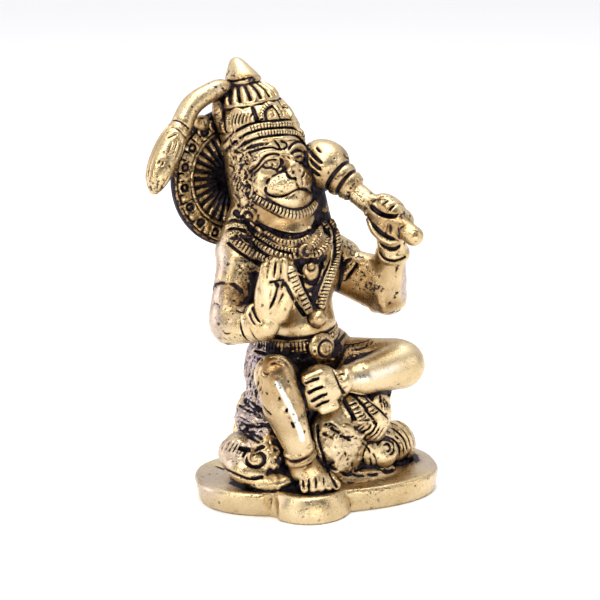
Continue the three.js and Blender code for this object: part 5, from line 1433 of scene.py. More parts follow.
def dhoti_and_rock(s):
    g = s.g
    s.figure()
    S = lambda pts, sp=0.4: s.seen(spline(np.array(pts, float), sp * 4.05))
    # dark rough line where the cloth comes out from under the leg
    g.stain(ell((9.5, -9.5, 28.6), (8.5, 4.5, 1.3), turned(0, 0, 4)), 0.8, 0.7)
    s.rough((9.5, -9.5, 28.4), (8.5, 4.0, 1.8), amp=0.25, size=0.9, seed=58, soft=0.6)
    # pleated end of the dhoti hanging over the rock
    s.ridge(S([(348, 399), (354, 408), (361, 420)]), 2.0, 0.75, k=0.5)
    s.ridge(S([(360, 396), (368, 405), (377, 416)]), 1.5, 0.9, k=0.3)
    s.ridge(S([(377, 397), (383.5, 405), (385, 415), (382, 425), (376, 434)]), 2.4, 0.9, k=1.0)
    s.groove(S([(343, 400), (346.4, 406.4), (350.4, 413), (354, 419.6)]), 0.72, 1.25, k=0.12)
    s.groove(S([(353.8, 395.5), (358, 399.6), (363.4, 406), (368.2, 413.4), (372.6, 419), (376, 425)]), 0.56, 1.15, k=0.1)
    for pts in ([(353.4, 403), (357, 402)], [(355.4, 409.6), (360.4, 408.2)], [(359, 416), (364, 416.6)], [(351.4, 399), (355, 400)], [(368, 406), (371, 404.4)], [(374, 414), (379.4, 411)], [(372.4, 410.4), (377.4, 409)],
                [(357, 421.6), (365, 420.4), (371.4, 420.4)]):
        s.groove(S(pts), 0.24, 0.42, taper=True)
    for pts in ([(380, 394.6), (380.8, 399), (380, 403)], [(384, 397), (385, 402), (384.4, 406.4)], [(387.4, 401), (388, 406)]):
        s.groove(S(pts), 0.34, 0.6, taper=True)
    s.groove(S([(363.5, 395.5), (372, 403.5), (380.5, 411), (388.5, 419)]), 0.24, 0.5)
    s.hatch(S([(351.5, 402), (357, 410), (364, 420)]), 2.0, 1.3, 0.2, 0.3, slant=0.25)
    s.hatch(S([(364.5, 401), (370.5, 408), (377, 415)]), 1.5, 1.2, 0.2, 0.3, slant=0.25)
    for i in range(3):
        s.groove(S([(379 + 2.7 * i, 397.5 + i), (381.6 + 2.6 * i, 403), (382.4 + 2.3 * i, 410)]), 0.26, 0.5, taper=True)
    # fan of fine folds gathering under the pleats
    for a0, m0, b0 in (((364, 437), (372, 432), (376.5, 424)), ((367.5, 440), (376, 434), (381, 425)), ((371.5, 442.5), (379.5, 436), (385, 425.5)), ((360.5, 433.5), (367.5, 429.5), (372, 424))):
        s.groove(S([a0, m0, b0]), 0.26, 0.5, taper=True)
    for a0, m0, b0 in (((352, 428), (358, 427.5), (363, 423.5)), ((354.5, 431), (360, 430), (366, 425.5)), ((357.5, 434.5), (361, 433), (365, 430))):
        s.groove(S([a0, m0, b0]), 0.16, 0.26, taper=True)
    s.ridge(S([(344, 425), (351, 431), (358, 436.5), (364, 434)]), 1.0, 0.5, k=0.6, taper=True)
    # gouges on the bright rock
    s.groove(S([(325.4, 424.2), (329, 425.6), (333.5, 429.6), (338.6, 432), (342, 436.4), (346.6, 439), (350.8, 440.4)]), 0.42, 0.9)
    s.groove(S([(328.4, 423), (333, 425.2), (337.6, 427.6), (340.6, 431.6), (344.4, 434.6)]), 0.17, 0.34)
    s.groove(S([(351.6, 439.4), (355.4, 438.4), (359, 439.6), (362.2, 437)]), 0.26, 0.5, taper=True)
    s.groove(S([(361, 441), (364.6, 444.4), (368.4, 449), (371, 455)]), 0.24, 0.45, taper=True)
    s.groove(S([(366.4, 447), (364, 454), (362.8, 461), (366, 468)]), 0.34, 0.6, taper=True)
    s.groove(S([(327.6, 462.6), (331.4, 463.8), (335.4, 461), (334.4, 457.4)]), 0.36, 0.6, taper=True)
    for pts in ([(372, 452), (375.4, 458), (377, 465)], [(370, 458), (371.4, 466)], [(352, 462), (353, 468)], [(345, 451), (346, 457)]):
        s.groove(S(pts), 0.2, 0.36, taper=True)
    s.groove(S([(346, 437), (350.5, 438), (355, 436.5)]), 0.26, 0.5, taper=True)
    s.groove(S([(320.5, 432.5), (325, 435), (330, 437), (333, 440)]), 0.45, 0.6, k=0.2, taper=True)
    P, N, ok = s.seen([(340, 452)])
    s.ash(P[0], (7.0, 5.0, 7.0), much=0.12, soft=2.0)
    s.clean(P[0], (8.0, 5.0, 8.0), much=0.3, soft=2.0)
    P, N, ok = s.seen([(364, 452)])
    s.clean(P[0], (3.0, 4.0, 5.0), much=0.7, soft=1.5)
    P, N, ok = s.seen([(346, 462)])
    s.brown(P[0], (6.0, 5.0, 3.0), much=0.12, soft=2.0)
    s.groove(S([(332.5, 436), (334.5, 433)]), 0.3, 0.5)
    s.groove(S([(317, 425), (318.5, 440), (322.5, 455), (326, 465), (332, 478), (337, 488)]), 0.4, 0.7, k=0.1)
    s.rough((3.6, -8.6, 15.4), (8.6, 6.0, 10.5), amp=0.1, size=0.7, seed=51, soft=1.2)
    s.rough((3.6, -8.6, 15.4), (8.6, 6.0, 10.5), amp=0.16, size=1.6, seed=52, soft=1.2)
    rnd = np.random.RandomState(11)
    s.ink = 0.4
    for i in range(46):
        x, y = rnd.uniform(324, 372), rnd.uniform(428, 472)
        a = rnd.uniform(0.9, 2.3)
        L = rnd.uniform(1.5, 4.0)
        dx, dy = L * math.cos(a), L * math.sin(a)
        s.groove(S([(x - dx, y - dy), (x + 0.6, y), (x + dx, y + dy)]), 0.13, 0.2, taper=True)
    s.ink = 1.0
    # broken dark rim where the rock meets the plinth
    for x0, y0, x1, y1 in ((326, 464, 338, 471), (340, 472, 352, 475), (352, 474, 366, 475), (366, 474, 380, 473), (382, 472, 396, 469)):
        s.groove(S([(x0, y0), ((x0 + x1) / 2, (y0 + y1) / 2 + 1.2), (x1, y1)]), 0.42, 0.7, taper=True)
    # skin of the rock
    for c, r, much in (((-12.6, 4.0, 34.0), (7.4, 9.0, 11.5), 0.66), ((-15.5, 3.0, 22.5), (8.0, 9.0, 6.0), 0.6), ((-16.5, -3.0, 13.6), (8.5, 8.0, 7.5), 0.5), ((-8.6, -4.0, 14.5), (5.0, 7.0, 10.0), 0.6),
                       ((4.2, -8.6, 14.6), (9.0, 7.0, 9.5), 0.36), ((11.5, -7.0, 22.0), (9.0, 7.0, 9.0), 0.42), ((9.0, -9.5, 9.0), (12.0, 6.0, 3.2), 0.3), ((18.5, -3.0, 14.0), (6.5, 8.0, 8.0), 0.34),
                       ((0.0, 12.0, 26.0), (24.0, 8.0, 24.0), 0.45)):
        s.fleck(c, r, much=much, soft=1.6)
    # coarse, dark stone elsewhere
    s.rough((-9, -5.5, 15), (9.5, 5.0, 12), amp=0.2, size=1.0, seed=53, soft=1.5)
    s.rough((-14, 4.5, 31), (8, 10, 12), amp=0.12, size=0.7, seed=54, soft=1.5)
    s.rough((0, 8, 18), (22, 11, 18), amp=0.2, size=1.5, seed=55, soft=2.0)
    # stone keeps its patina
    g.stain(ell((-13.5, 5.5, 31), (7.5, 10, 12)), 0.5, 1.5)
    g.stain(ell((-8.5, -5.0, 18), (7.0, 5.5, 12)), 0.62, 1.5)
    g.stain(ell((2, 10, 20), (20, 9, 18)), 0.36, 1.5)
    g.stain(ell((-12, -6.0, 9.0), (8, 5.0, 2.4)), 0.3, 1.2)
    s.fleck((-16.0, -9.0, 6.6), (9.0, 4.5, 1.6), much=0.6, soft=1.4)
    # violet grey on the stone's left side and the right scroll: bloom, with painted reflection on the faces turned to
    # the side lights
    for c, r, much in (((-13.0, 4.0, 32.0), (6.4, 9.0, 13.0), 0.95), ((-16.5, 3.0, 21.0), (6.0, 8.0, 6.0), 0.85), ((-20.0, 0.0, 13.5), (7.0, 6.0, 6.0), 0.5), ((-12.0, 2.6, 39.5), (5.5, 6.0, 4.0), 1.0), ((25.0, 1.0, 13.0), (5.0, 6.0, 6.0), 0.6)):
        s.ash(c, r, much=much, soft=1.4)
    rnd = np.random.RandomState(5)
    for i in range(58):
        x, y = rnd.uniform(243.5, 262), rnd.uniform(356, 402)
        L, lean = rnd.uniform(2.2, 4.6), rnd.uniform(-0.5, 0.25)
        s.groove(S([(x - lean * L, y - L), (x + 0.5, y), (x + lean * L, y + L)]), rnd.uniform(0.14, 0.24), 0.3, taper=True)
    for i in range(40):
        x, y = rnd.uniform(236, 262), rnd.uniform(403, 432)
        a, L = rnd.uniform(-0.3, 1.3), rnd.uniform(1.4, 3.2)
        dx, dy = L * math.cos(a), L * math.sin(a)
        s.groove(S([(x - dx, y - dy), (x + 0.4, y), (x + dx, y + dy)]), rnd.uniform(0.16, 0.34), 0.4, taper=True)
    for pts in ([(236, 405), (243, 407), (250, 411), (258, 413)], [(235, 417), (243, 420), (251, 423.5)], [(262, 405), (266, 411), (272, 416)], [(247, 399), (252, 404), (259, 407)]):
        s.groove(S(pts), 0.42, 0.7, k=0.2, taper=True)
    # streaks on the left boulder
    for i in range(9):
        x = 217 + 3.6 * i
        s.groove(S([(x + 7, 436 + 1.6 * i), (x + 2.5, 444 + 1.4 * i), (x, 451 + 0.8 * i)]), 0.24, 0.42, taper=True)
    for pts in ([(245, 434), (253, 438), (262, 443)], [(247, 431), (256, 435.5), (264, 440)], [(240, 448), (246, 450), (250, 449)]):
        s.groove(S(pts), 0.6, 0.8, k=0.2, taper=True)


def curl(s, centre, size, turns=1.5, start=0.0, r=0.7, rise=0.7, flip=1):
    """A spiral ridge drawn on the surface round a place in the photograph's frame."""
    pts = []
    n = int(26 * turns)
    for i in range(n + 1):
        t = i / n
        a = math.radians(start) + flip * t * turns * 2 * math.pi
        q = size * (1 - 0.78 * t)
        pts.append((centre[0] + q * math.cos(a), centre[1] + q * 0.92 * math.sin(a)))
    P = s.seen(spline(np.array(pts), 1.4))
    s.ridge(P, r, rise, k=0.2)


def scrolls(s):
    s.figure()
    S = lambda pts, sp=0.4: s.seen(spline(np.array(pts, float), sp * 4.05))
    # left cloud: the eye of the curl
    P, N, _ = s.seen([(255.5, 459.5)])
    s.g.add(ell(P[0] - N[0] * 0.6, (3.2, 2.2, 3.2)), 0.5)
    pts = []
    for i in range(60):
        t = i / 59.0
        a = math.radians(-150 - 560 * (1 - t) + 560)
        q = 2.2 + 10.2 * t ** 0.9
        a = math.radians(40 + 590 * t)
        pts.append((256.5 + q * math.cos(a), 458.5 + q * 0.92 * math.sin(a)))
    s.groove(s.seen(spline(np.array(pts), 1.4)), 0.5, 0.85, taper=True)
    s.groove(S([(238, 449.5), (245, 448.5), (251, 452)]), 0.5, 0.7, taper=True)
    s.groove(S([(252, 452), (259, 448), (266, 446)]), 0.55, 0.8, taper=True)
    s.groove(S([(217, 466), (227, 470.5), (238, 475.5), (250, 479.5), (262, 477)]), 0.45, 0.8)
    # right cloud: a smooth tongue with fine parallel lines, and the eye they curl to
    P, N, _ = s.seen([(386, 458)])
    s.g.add(ell(P[0] - N[0] * 0.9, (3.6, 2.0, 3.0), turned(0, 0, -12)), 0.6)
    for pts in (
        [(389.5, 417), (398, 421), (406, 427), (411.5, 435), (414.0, 446)],
        [(388, 421.5), (396, 425.5), (404, 432), (409, 440), (411.3, 451)],
        [(387, 426), (395, 430), (401.5, 436), (406, 444), (408, 455)],
        [(385.5, 430.5), (393, 434), (399, 439.5), (403, 447.5), (404.0, 457.5)],
        [(383, 435.5), (390.5, 437.5), (396, 442), (399.3, 449), (399.3, 458)],
    ):
        s.groove(S(pts), 0.32, 0.62, taper=True)
    for pts in ([(391, 424), (398.5, 428.5), (404.5, 435), (408.5, 443)], [(389, 432.5), (396, 437), (400.5, 443.5), (402.3, 451)]):
        s.ridge(S(pts), 0.34, 0.26, k=0.1, taper=True)
    s.groove(S([(377.5, 446), (381, 440.5), (387.5, 439), (393.0, 442.5), (394.6, 449), (391.5, 454.5), (386, 455)]), 0.5, 0.9, taper=True)
    s.groove(S([(383, 445.5), (387.5, 444), (390.5, 447), (389.4, 451), (385.5, 450.6)]), 0.42, 0.8, taper=True)
    s.groove(S([(373, 466), (381, 470), (389, 470.5), (396, 467)]), 0.3, 0.5, taper=True)
    s.groove(S([(395.5, 463.5), (401.5, 464.5), (408, 461.5), (412, 458.5)]), 0.62, 1.0, k=0.2)


def back_finish(s):
    """Sides and back in keeping, plainer: combed hair, petals on the back of the disc, cloth folds and curls on the
    rock.
    """
    g = s.g
    s.figure()

    def behind(pts, sp=0.8):
        Q = spline(np.array(pts, float), sp)
        P = g.world(np.stack([Q[:, 0], np.full(len(Q), 30.0), Q[:, 1]], 1))
        H, ok = g.march(P, g.F @ np.array([0, -1.0, 0]))
        return g.local(H), g.normal(H) @ g.F, ok

    # petals round the back of the disc
    s.halo()
    for i in range(24):
        a = math.radians(i * 15)
        d = np.array([math.cos(a), math.sin(a), 0])
        g.op(cone(d * 7.0 + [0, 0, -1.35], d * 13.2 + [0, 0, -1.35], 0.22, 0.34), 0.15, "cut", soft=0.35)
    s.figure()
    # folds of the dhoti behind the hips
    for i in range(8):
        x = -11.0 + 3.0 * i
        s.groove(behind([(x, 41.5), (x - 0.5 + 0.3 * i, 36.0), (x + 0.2 * i - 0.4, 30.5)]), 0.42, 0.55, taper=True)
    s.ridge(behind([(-13.5, 30.0), (-6, 28.6), (2, 28.2), (10, 29.0), (14, 30.4)]), 0.8, 0.55, k=0.3)
    s.groove(behind([(-13.5, 28.6), (-6, 27.2), (2, 26.8), (10, 27.6), (14, 29.0)]), 0.4, 0.6)
    # three curls on the rock behind
    for cx, cz, q0, flip in ((-9.0, 17.0, 5.2, 1), (3.5, 20.5, 4.6, -1), (13.0, 14.0, 4.8, 1)):
        pts = []
        for i in range(34):
            t = i / 33.0
            a = math.radians(90) + flip * 3.1 * math.pi * t
            q = q0 * (1 - 0.82 * t)
            pts.append((cx + q * math.cos(a), cz + q * math.sin(a)))
        s.groove(behind(pts, 0.9), 0.42, 0.7, taper=True)
    # strands from the crown down the nape
    for i in range(5):
        x = -1.0 + 1.9 * i
        s.groove(behind([(x, 78.0), (x + 0.3, 72.0), (x + 0.9, 66.0)]), 0.35, 0.45, taper=True)


# ------------------------------------------------------------------ mesh
def surface_mesh(g):
    """Surface nets: one vertex in every cell the surface crosses, quads between them."""
    D, lo, h = g.D, g.lo, g.h
    S = D < 0
    c = S[:-1, :-1, :-1]
    any_, all_ = c.copy(), c.copy()
    for a in (0, 1):
        for b in (0, 1):
            for e in (0, 1):
                if a or b or e:
                    q = S[a:D.shape[0] - 1 + a, b:D.shape[1] - 1 + b, e:D.shape[2] - 1 + e]
                    any_ |= q
                    all_ &= q
    act = any_ & ~all_
    ijk = np.argwhere(act)
    index = np.full(act.shape, -1, np.int32)
    index[act] = np.arange(len(ijk), dtype=np.int32)
    corners = [(a, b, e) for a in (0, 1) for b in (0, 1) for e in (0, 1)]
    val = {q: D[ijk[:, 0] + q[0], ijk[:, 1] + q[1], ijk[:, 2] + q[2]] for q in corners}
    acc, cnt = np.zeros((len(ijk), 3), f32), np.zeros(len(ijk), f32)
    for q in corners:
        for ax in range(3):
            if q[ax] == 0:
                w = list(q)
                w[ax] = 1
                v0, v1 = val[q], val[tuple(w)]
                x = (v0 < 0) != (v1 < 0)
                t = np.where(x, v0 / np.where(x, v0 - v1, 1), 0)
                p = np.tile(np.array(q, f32), (len(ijk), 1))
                p[:, ax] = t
                acc += p * x[:, None]
                cnt += x
    V = lo + h * (ijk + acc / cnt[:, None])
    faces = []
    for ax in range(3):
        u, v = (ax + 1) % 3, (ax + 2) % 3
        a = [slice(None)] * 3
        b = [slice(None)] * 3
        a[ax], b[ax] = slice(0, -1), slice(1, None)
        s0, s1 = S[tuple(a)], S[tuple(b)]
        e = np.argwhere(s0 != s1)
        e = e[(e[:, u] > 0) & (e[:, v] > 0) & (e[:, u] < D.shape[u] - 1) & (e[:, v] < D.shape[v] - 1)]
        inside = s0[e[:, 0], e[:, 1], e[:, 2]]
        quad = []
        for du, dv in ((-1, -1), (0, -1), (0, 0), (-1, 0)):
            w = e.copy()
            w[:, u] += du
            w[:, v] += dv
            quad.append(index[w[:, 0], w[:, 1], w[:, 2]])
        quad = np.stack(quad, 1)
        quad = np.where(inside[:, None], quad, quad[:, ::-1])
        faces.append(quad)
    F = np.vstack(faces)
    F = F[(F >= 0).all(1)]
    for _ in range(2):
        n = g.normal(V, h * 0.6)
        d = np.clip(g.val(V), -0.4 * h, 0.4 * h)
        V = V - n * d[:, None] * 0.9
    return V, F


def biggest(V, F):
    """Keeps the largest connected surface."""
    lab = np.arange(len(V))
    A = np.concatenate([F[:, 0], F[:, 1], F[:, 2]])
    B = np.concatenate([F[:, 1], F[:, 2], F[:, 3]])
    while True:
        m = np.minimum(lab[A], lab[B])
        new = lab.copy()
        np.minimum.at(new, A, m)
        np.minimum.at(new, B, m)
        np.minimum.at(new, lab[A], m)
        np.minimum.at(new, lab[B], m)
        new = new[new]
        if (new == lab).all():
            break
        lab = new
    ids, cnt = np.unique(lab, return_counts=True)
    keep = lab == ids[cnt.argmax()]
    F = F[keep[F[:, 0]]]
    used = np.zeros(len(V), bool)
    used[F.ravel()] = True
    new = np.cumsum(used) - 1
    return V[used], new[F]


def blurred(A, sigma):
    """Gaussian blur of a grid, sigma in cells."""
    n = int(math.ceil(2.5 * sigma))
    w = np.exp(-0.5 * (np.arange(-n, n + 1) / sigma) ** 2)
    w = (w / w.sum()).astype(f32)
    for ax in range(3):
        A = np.moveaxis(A, ax, 0)
        out = w[n] * A
        for i in range(1, n + 1):
            out[i:] += w[n + i] * A[:-i]
            out[:i] += w[n + i] * A[:1]
            out[:-i] += w[n - i] * A[i:]
            out[-i:] += w[n - i] * A[-1:]
        A = np.moveaxis(out, 0, ax)
    return A


def sampled(grid, lo, h, P):
    q = (P - lo) / h
    i = np.clip(np.floor(q).astype(int), 0, np.array(grid.shape) - 2)
    t = np.clip(q - i, 0, 1)
    r = 0.0
    for a in (0, 1):
        for b in (0, 1):
            for c in (0, 1):
                w = (t[:, 0] if a else 1 - t[:, 0]) * (t[:, 1] if b else 1 - t[:, 1]) * (t[:, 2] if c else 1 - t[:, 2])
                r = r + w * grid[i[:, 0] + a, i[:, 1] + b, i[:, 2] + c]
    return r


def hollows(g, P, N):
    """How deep in a hollow each point lies, at three sizes: 0 flat, above 0 sunk, below 0 proud."""
    out = []
    occ = np.clip(f32(0.5) - g.D / f32(g.h), 0, 1)
    a = blurred(occ, 0.5 / g.h)
    out.append(sampled(a, g.lo, g.h, P + N * 0.1) * 2 - 1)
    n = (np.array(occ.shape) // 3) * 3
    small = occ[:n[0], :n[1], :n[2]].reshape(n[0] // 3, 3, n[1] // 3, 3, n[2] // 3, 3).mean((1, 3, 5))
    lo, h = g.lo + g.h, g.h * 3
    for sig in (1.3, 3.2):
        # the plate and the table side are padded so the edge of the grid isn't read as open or closed
        b = blurred(small, sig / h)
        out.append(sampled(b, lo, h, P + N * (0.25 * sig)) * 2 - 1)
    return out


def stroke_marks(s, P, N):
    """For each point: its place along the nearest drawn strip, in strokes, and how far across it (1 is the edge)."""
    lay, side = np.zeros(len(P)), np.full(len(P), 3.0)
    for Q, M, ok, U, width, slant in s.strokes:
        lo, hi = Q.min(0) - 2.5, Q.max(0) + 2.5
        near = np.nonzero(((P > lo) & (P < hi)).all(1))[0]
        if not len(near):
            continue
        p = P[near]
        best, bu, bv = np.full(len(near), 9.0), np.zeros(len(near)), np.zeros(len(near))
        for i in range(len(Q) - 1):
            if not (ok[i] and ok[i + 1]):
                continue
            a, b = Q[i], Q[i + 1]
            ab = b - a
            l2 = ab @ ab
            if l2 < 1e-9 or l2 > 9:
                continue
            t = ((p - a) @ ab) / l2
            tc = np.clip(t, 0, 1)
            d = p - (a + tc[:, None] * ab)
            r = np.linalg.norm(d, axis=1)
            w = unit(np.cross(M[i] + M[i + 1], ab))
            hit = r < best
            best[hit] = r[hit]
            v = d[hit] @ w
            bu[hit] = U[i] + (U[i + 1] - U[i]) * tc[hit] - v * slant
            bv[hit] = r[hit] / (width / 2 + 0.12)
        take = bv < side[near]
        take &= best < 2.5
        lay[near[take]] = bu[take]
        side[near[take]] = bv[take]
    return lay, np.minimum(side, 3.0)


def marks(regions, P):
    """How much each point is painted, 0..1."""
    out = np.zeros(len(P))
    for fn, O, F, much, soft in regions:
        q = ((P - O) @ F).astype(f32)
        d = fn(q[:, 0], q[:, 1], q[:, 2])
        out = np.maximum(out, much * np.clip(0.5 - d / soft, 0, 1))
    return out


def worn_marks(s, P):
    out = np.zeros(len(P))
    for Q, ok, r, much, soft in s.worn:
        for i in range(len(Q) - 1):
            if ok[i] and ok[i + 1]:
                ab = Q[i + 1] - Q[i]
                t = np.clip(((P - Q[i]) @ ab) / (ab @ ab + 1e-9), 0, 1)
                d = np.linalg.norm(P - (Q[i] + t[:, None] * ab), axis=1)
                out = np.maximum(out, much * np.clip((r - d) / soft + 0.5, 0, 1))
    return out


def sculpt(h):
    s = Figure(h)
    make_head(s)
    face_lines(s)
    make_crown(s)
    brow_lines(s)
    finial_marks(s)
    beard(s)
    hair_and_back(s)
    make_plinth(s)
    make_rock(s)
    make_body(s)
    under_jaw(s)
    make_legs(s)
    make_right_arm(s)
    make_left_arm(s)
    make_halo(s)
    make_tail(s)
    make_mace(s)
    make_fist(s)
    make_left_foot(s)
    torso_ornament(s)
    belt_and_buckle(s)
    arm_detail(s)
    leg_detail(s)
    dhoti_and_rock(s)
    scrolls(s)
    back_finish(s)
    # clean sole
    s.g.op(box((0, 0, -5), (60, 60, 5.0), rd=0), 0, "cut", stain=0.0001)
    s.g.frame()
    return s


# ------------------------------------------------------------------ object
CELL = 0.25
TRIANGLES = 196000


def make_object():
    s = sculpt(CELL)
    g = s.g
    V, F = surface_mesh(g)
    V, F = biggest(V, F)
    me = bpy.data.meshes.new("hanuman_figure_cast")
    me.vertices.add(len(V))
    me.vertices.foreach_set("co", (V / 1000.0).astype(f32).ravel())
    me.loops.add(F.size)
    me.loops.foreach_set("vertex_index", F.astype(np.int32).ravel())
    me.polygons.add(len(F))
    me.polygons.foreach_set("loop_start", np.arange(0, F.size, 4, dtype=np.int32))
    me.update(calc_edges=True)
    ob = bpy.data.objects.new("hanuman_casting", me)
    bpy.context.scene.collection.objects.link(ob)
    # fewer triangles where the metal is smooth, kept where it is carved
    dec = ob.modifiers.new("thin", "DECIMATE")
    dec.ratio = min(1.0, TRIANGLES / (2.0 * len(F)))
    dec.use_collapse_triangulate = True
    deps = bpy.context.evaluated_depsgraph_get()
    thin = bpy.data.meshes.new_from_object(ob.evaluated_get(deps))
    ob.modifiers.clear()
    ob.data = thin
    bpy.data.meshes.remove(me)
    thin.name = "hanuman_casting"
    me = thin
    # doubled faces left by the thinning are dropped
    me.validate(clean_customdata=False)
    n = len(me.vertices)
    P = np.empty(n * 3, f32)
    me.vertices.foreach_get("co", P)
    P = P.reshape(-1, 3).astype(float) * 1000.0
    N = g.normal(P, g.h * 1.2)
    # the sole is one flat plane
    low = P[:, 2] < 0.12
    P[low, 2] = 0.0
    me.vertices.foreach_set("co", (P / 1000.0).astype(f32).ravel())
    a, b, c = hollows(g, P, N)
    soak = sampled(g.K, g.lo, g.h, P - N * 0.12) - marks(s.cleaned, P)
    lay, side = stroke_marks(s, P, N)
    spot, browned, ashen = marks(s.flecks, P), marks(s.browned, P), marks(s.ashen, P)
    worn = worn_marks(s, P)
    # how much each point faces down; the material paints brown shade from it
    under = np.clip(-N[:, 2], 0, 1)
    for name, val in (("fine", a), ("mid", b), ("deep", c), ("soak", soak), ("lay", lay), ("side", side), ("spot", spot), ("worn", worn), ("under", under), ("browned", browned), ("ashen", ashen)):
        at = me.attributes.new(name, "FLOAT", "POINT")
        at.data.foreach_set("value", val.astype(f32))
    me.polygons.foreach_set("use_smooth", np.ones(len(me.polygons), bool))
    me.update()
    print("triangles", len(me.polygons), "vertices", n)
    return ob


class Nodes:
    """A small helper: nodes by name, inputs by keyword."""

    def __init__(s, mat):
        mat.use_nodes = True
        s.t = mat.node_tree
        s.t.nodes.clear()

    def add(s, kind, links=None, **props):
        n = s.t.nodes.new(kind)
        for k, v in props.items():
            setattr(n, k, v)
        for k, v in (links or {}).items():
            s.put(n.inputs[k], v)
        return n

    def put(s, socket, v):
        if isinstance(v, bpy.types.NodeSocket):
            s.t.links.new(v, socket)
        else:
            socket.default_value = v

    def math(s, op, a, b=0.0, c=None, clamp=False):
        n = s.t.nodes.new("ShaderNodeMath")
        n.operation = op
        n.use_clamp = clamp
        s.put(n.inputs[0], a)
        s.put(n.inputs[1], b)
        if c is not None:
            s.put(n.inputs[2], c)
        return n.outputs[0]

    def step(s, v, lo, hi, a=0.0, b=1.0):
        n = s.t.nodes.new("ShaderNodeMapRange")
        n.interpolation_type = "SMOOTHSTEP"
        s.put(n.inputs["Value"], v)
        s.put(n.inputs["From Min"], lo)
        s.put(n.inputs["From Max"], hi)
        s.put(n.inputs["To Min"], a)
        s.put(n.inputs["To Max"], b)
        return n.outputs["Result"]

    def mix(s, f, a, b):
        n = s.t.nodes.new("ShaderNodeMix")
        n.data_type = "RGBA"
        s.put(n.inputs["Factor"], f)
        s.put(n.inputs[6], a)
        s.put(n.inputs[7], b)
        return n.outputs[2]

    def noise(s, scale, detail=3.0, rough=0.55, vec=None, distortion=0.0):
        n = s.t.nodes.new("ShaderNodeTexNoise")
        s.put(n.inputs["Vector"], vec)
        n.inputs["Scale"].default_value = scale
        n.inputs["Detail"].default_value = detail
        n.inputs["Roughness"].default_value = rough
        n.inputs["Distortion"].default_value = distortion
        return n.outputs[0]

    def attr(s, name):
        n = s.t.nodes.new("ShaderNodeAttribute")
        n.attribute_name = name
        return n.outputs["Fac"]


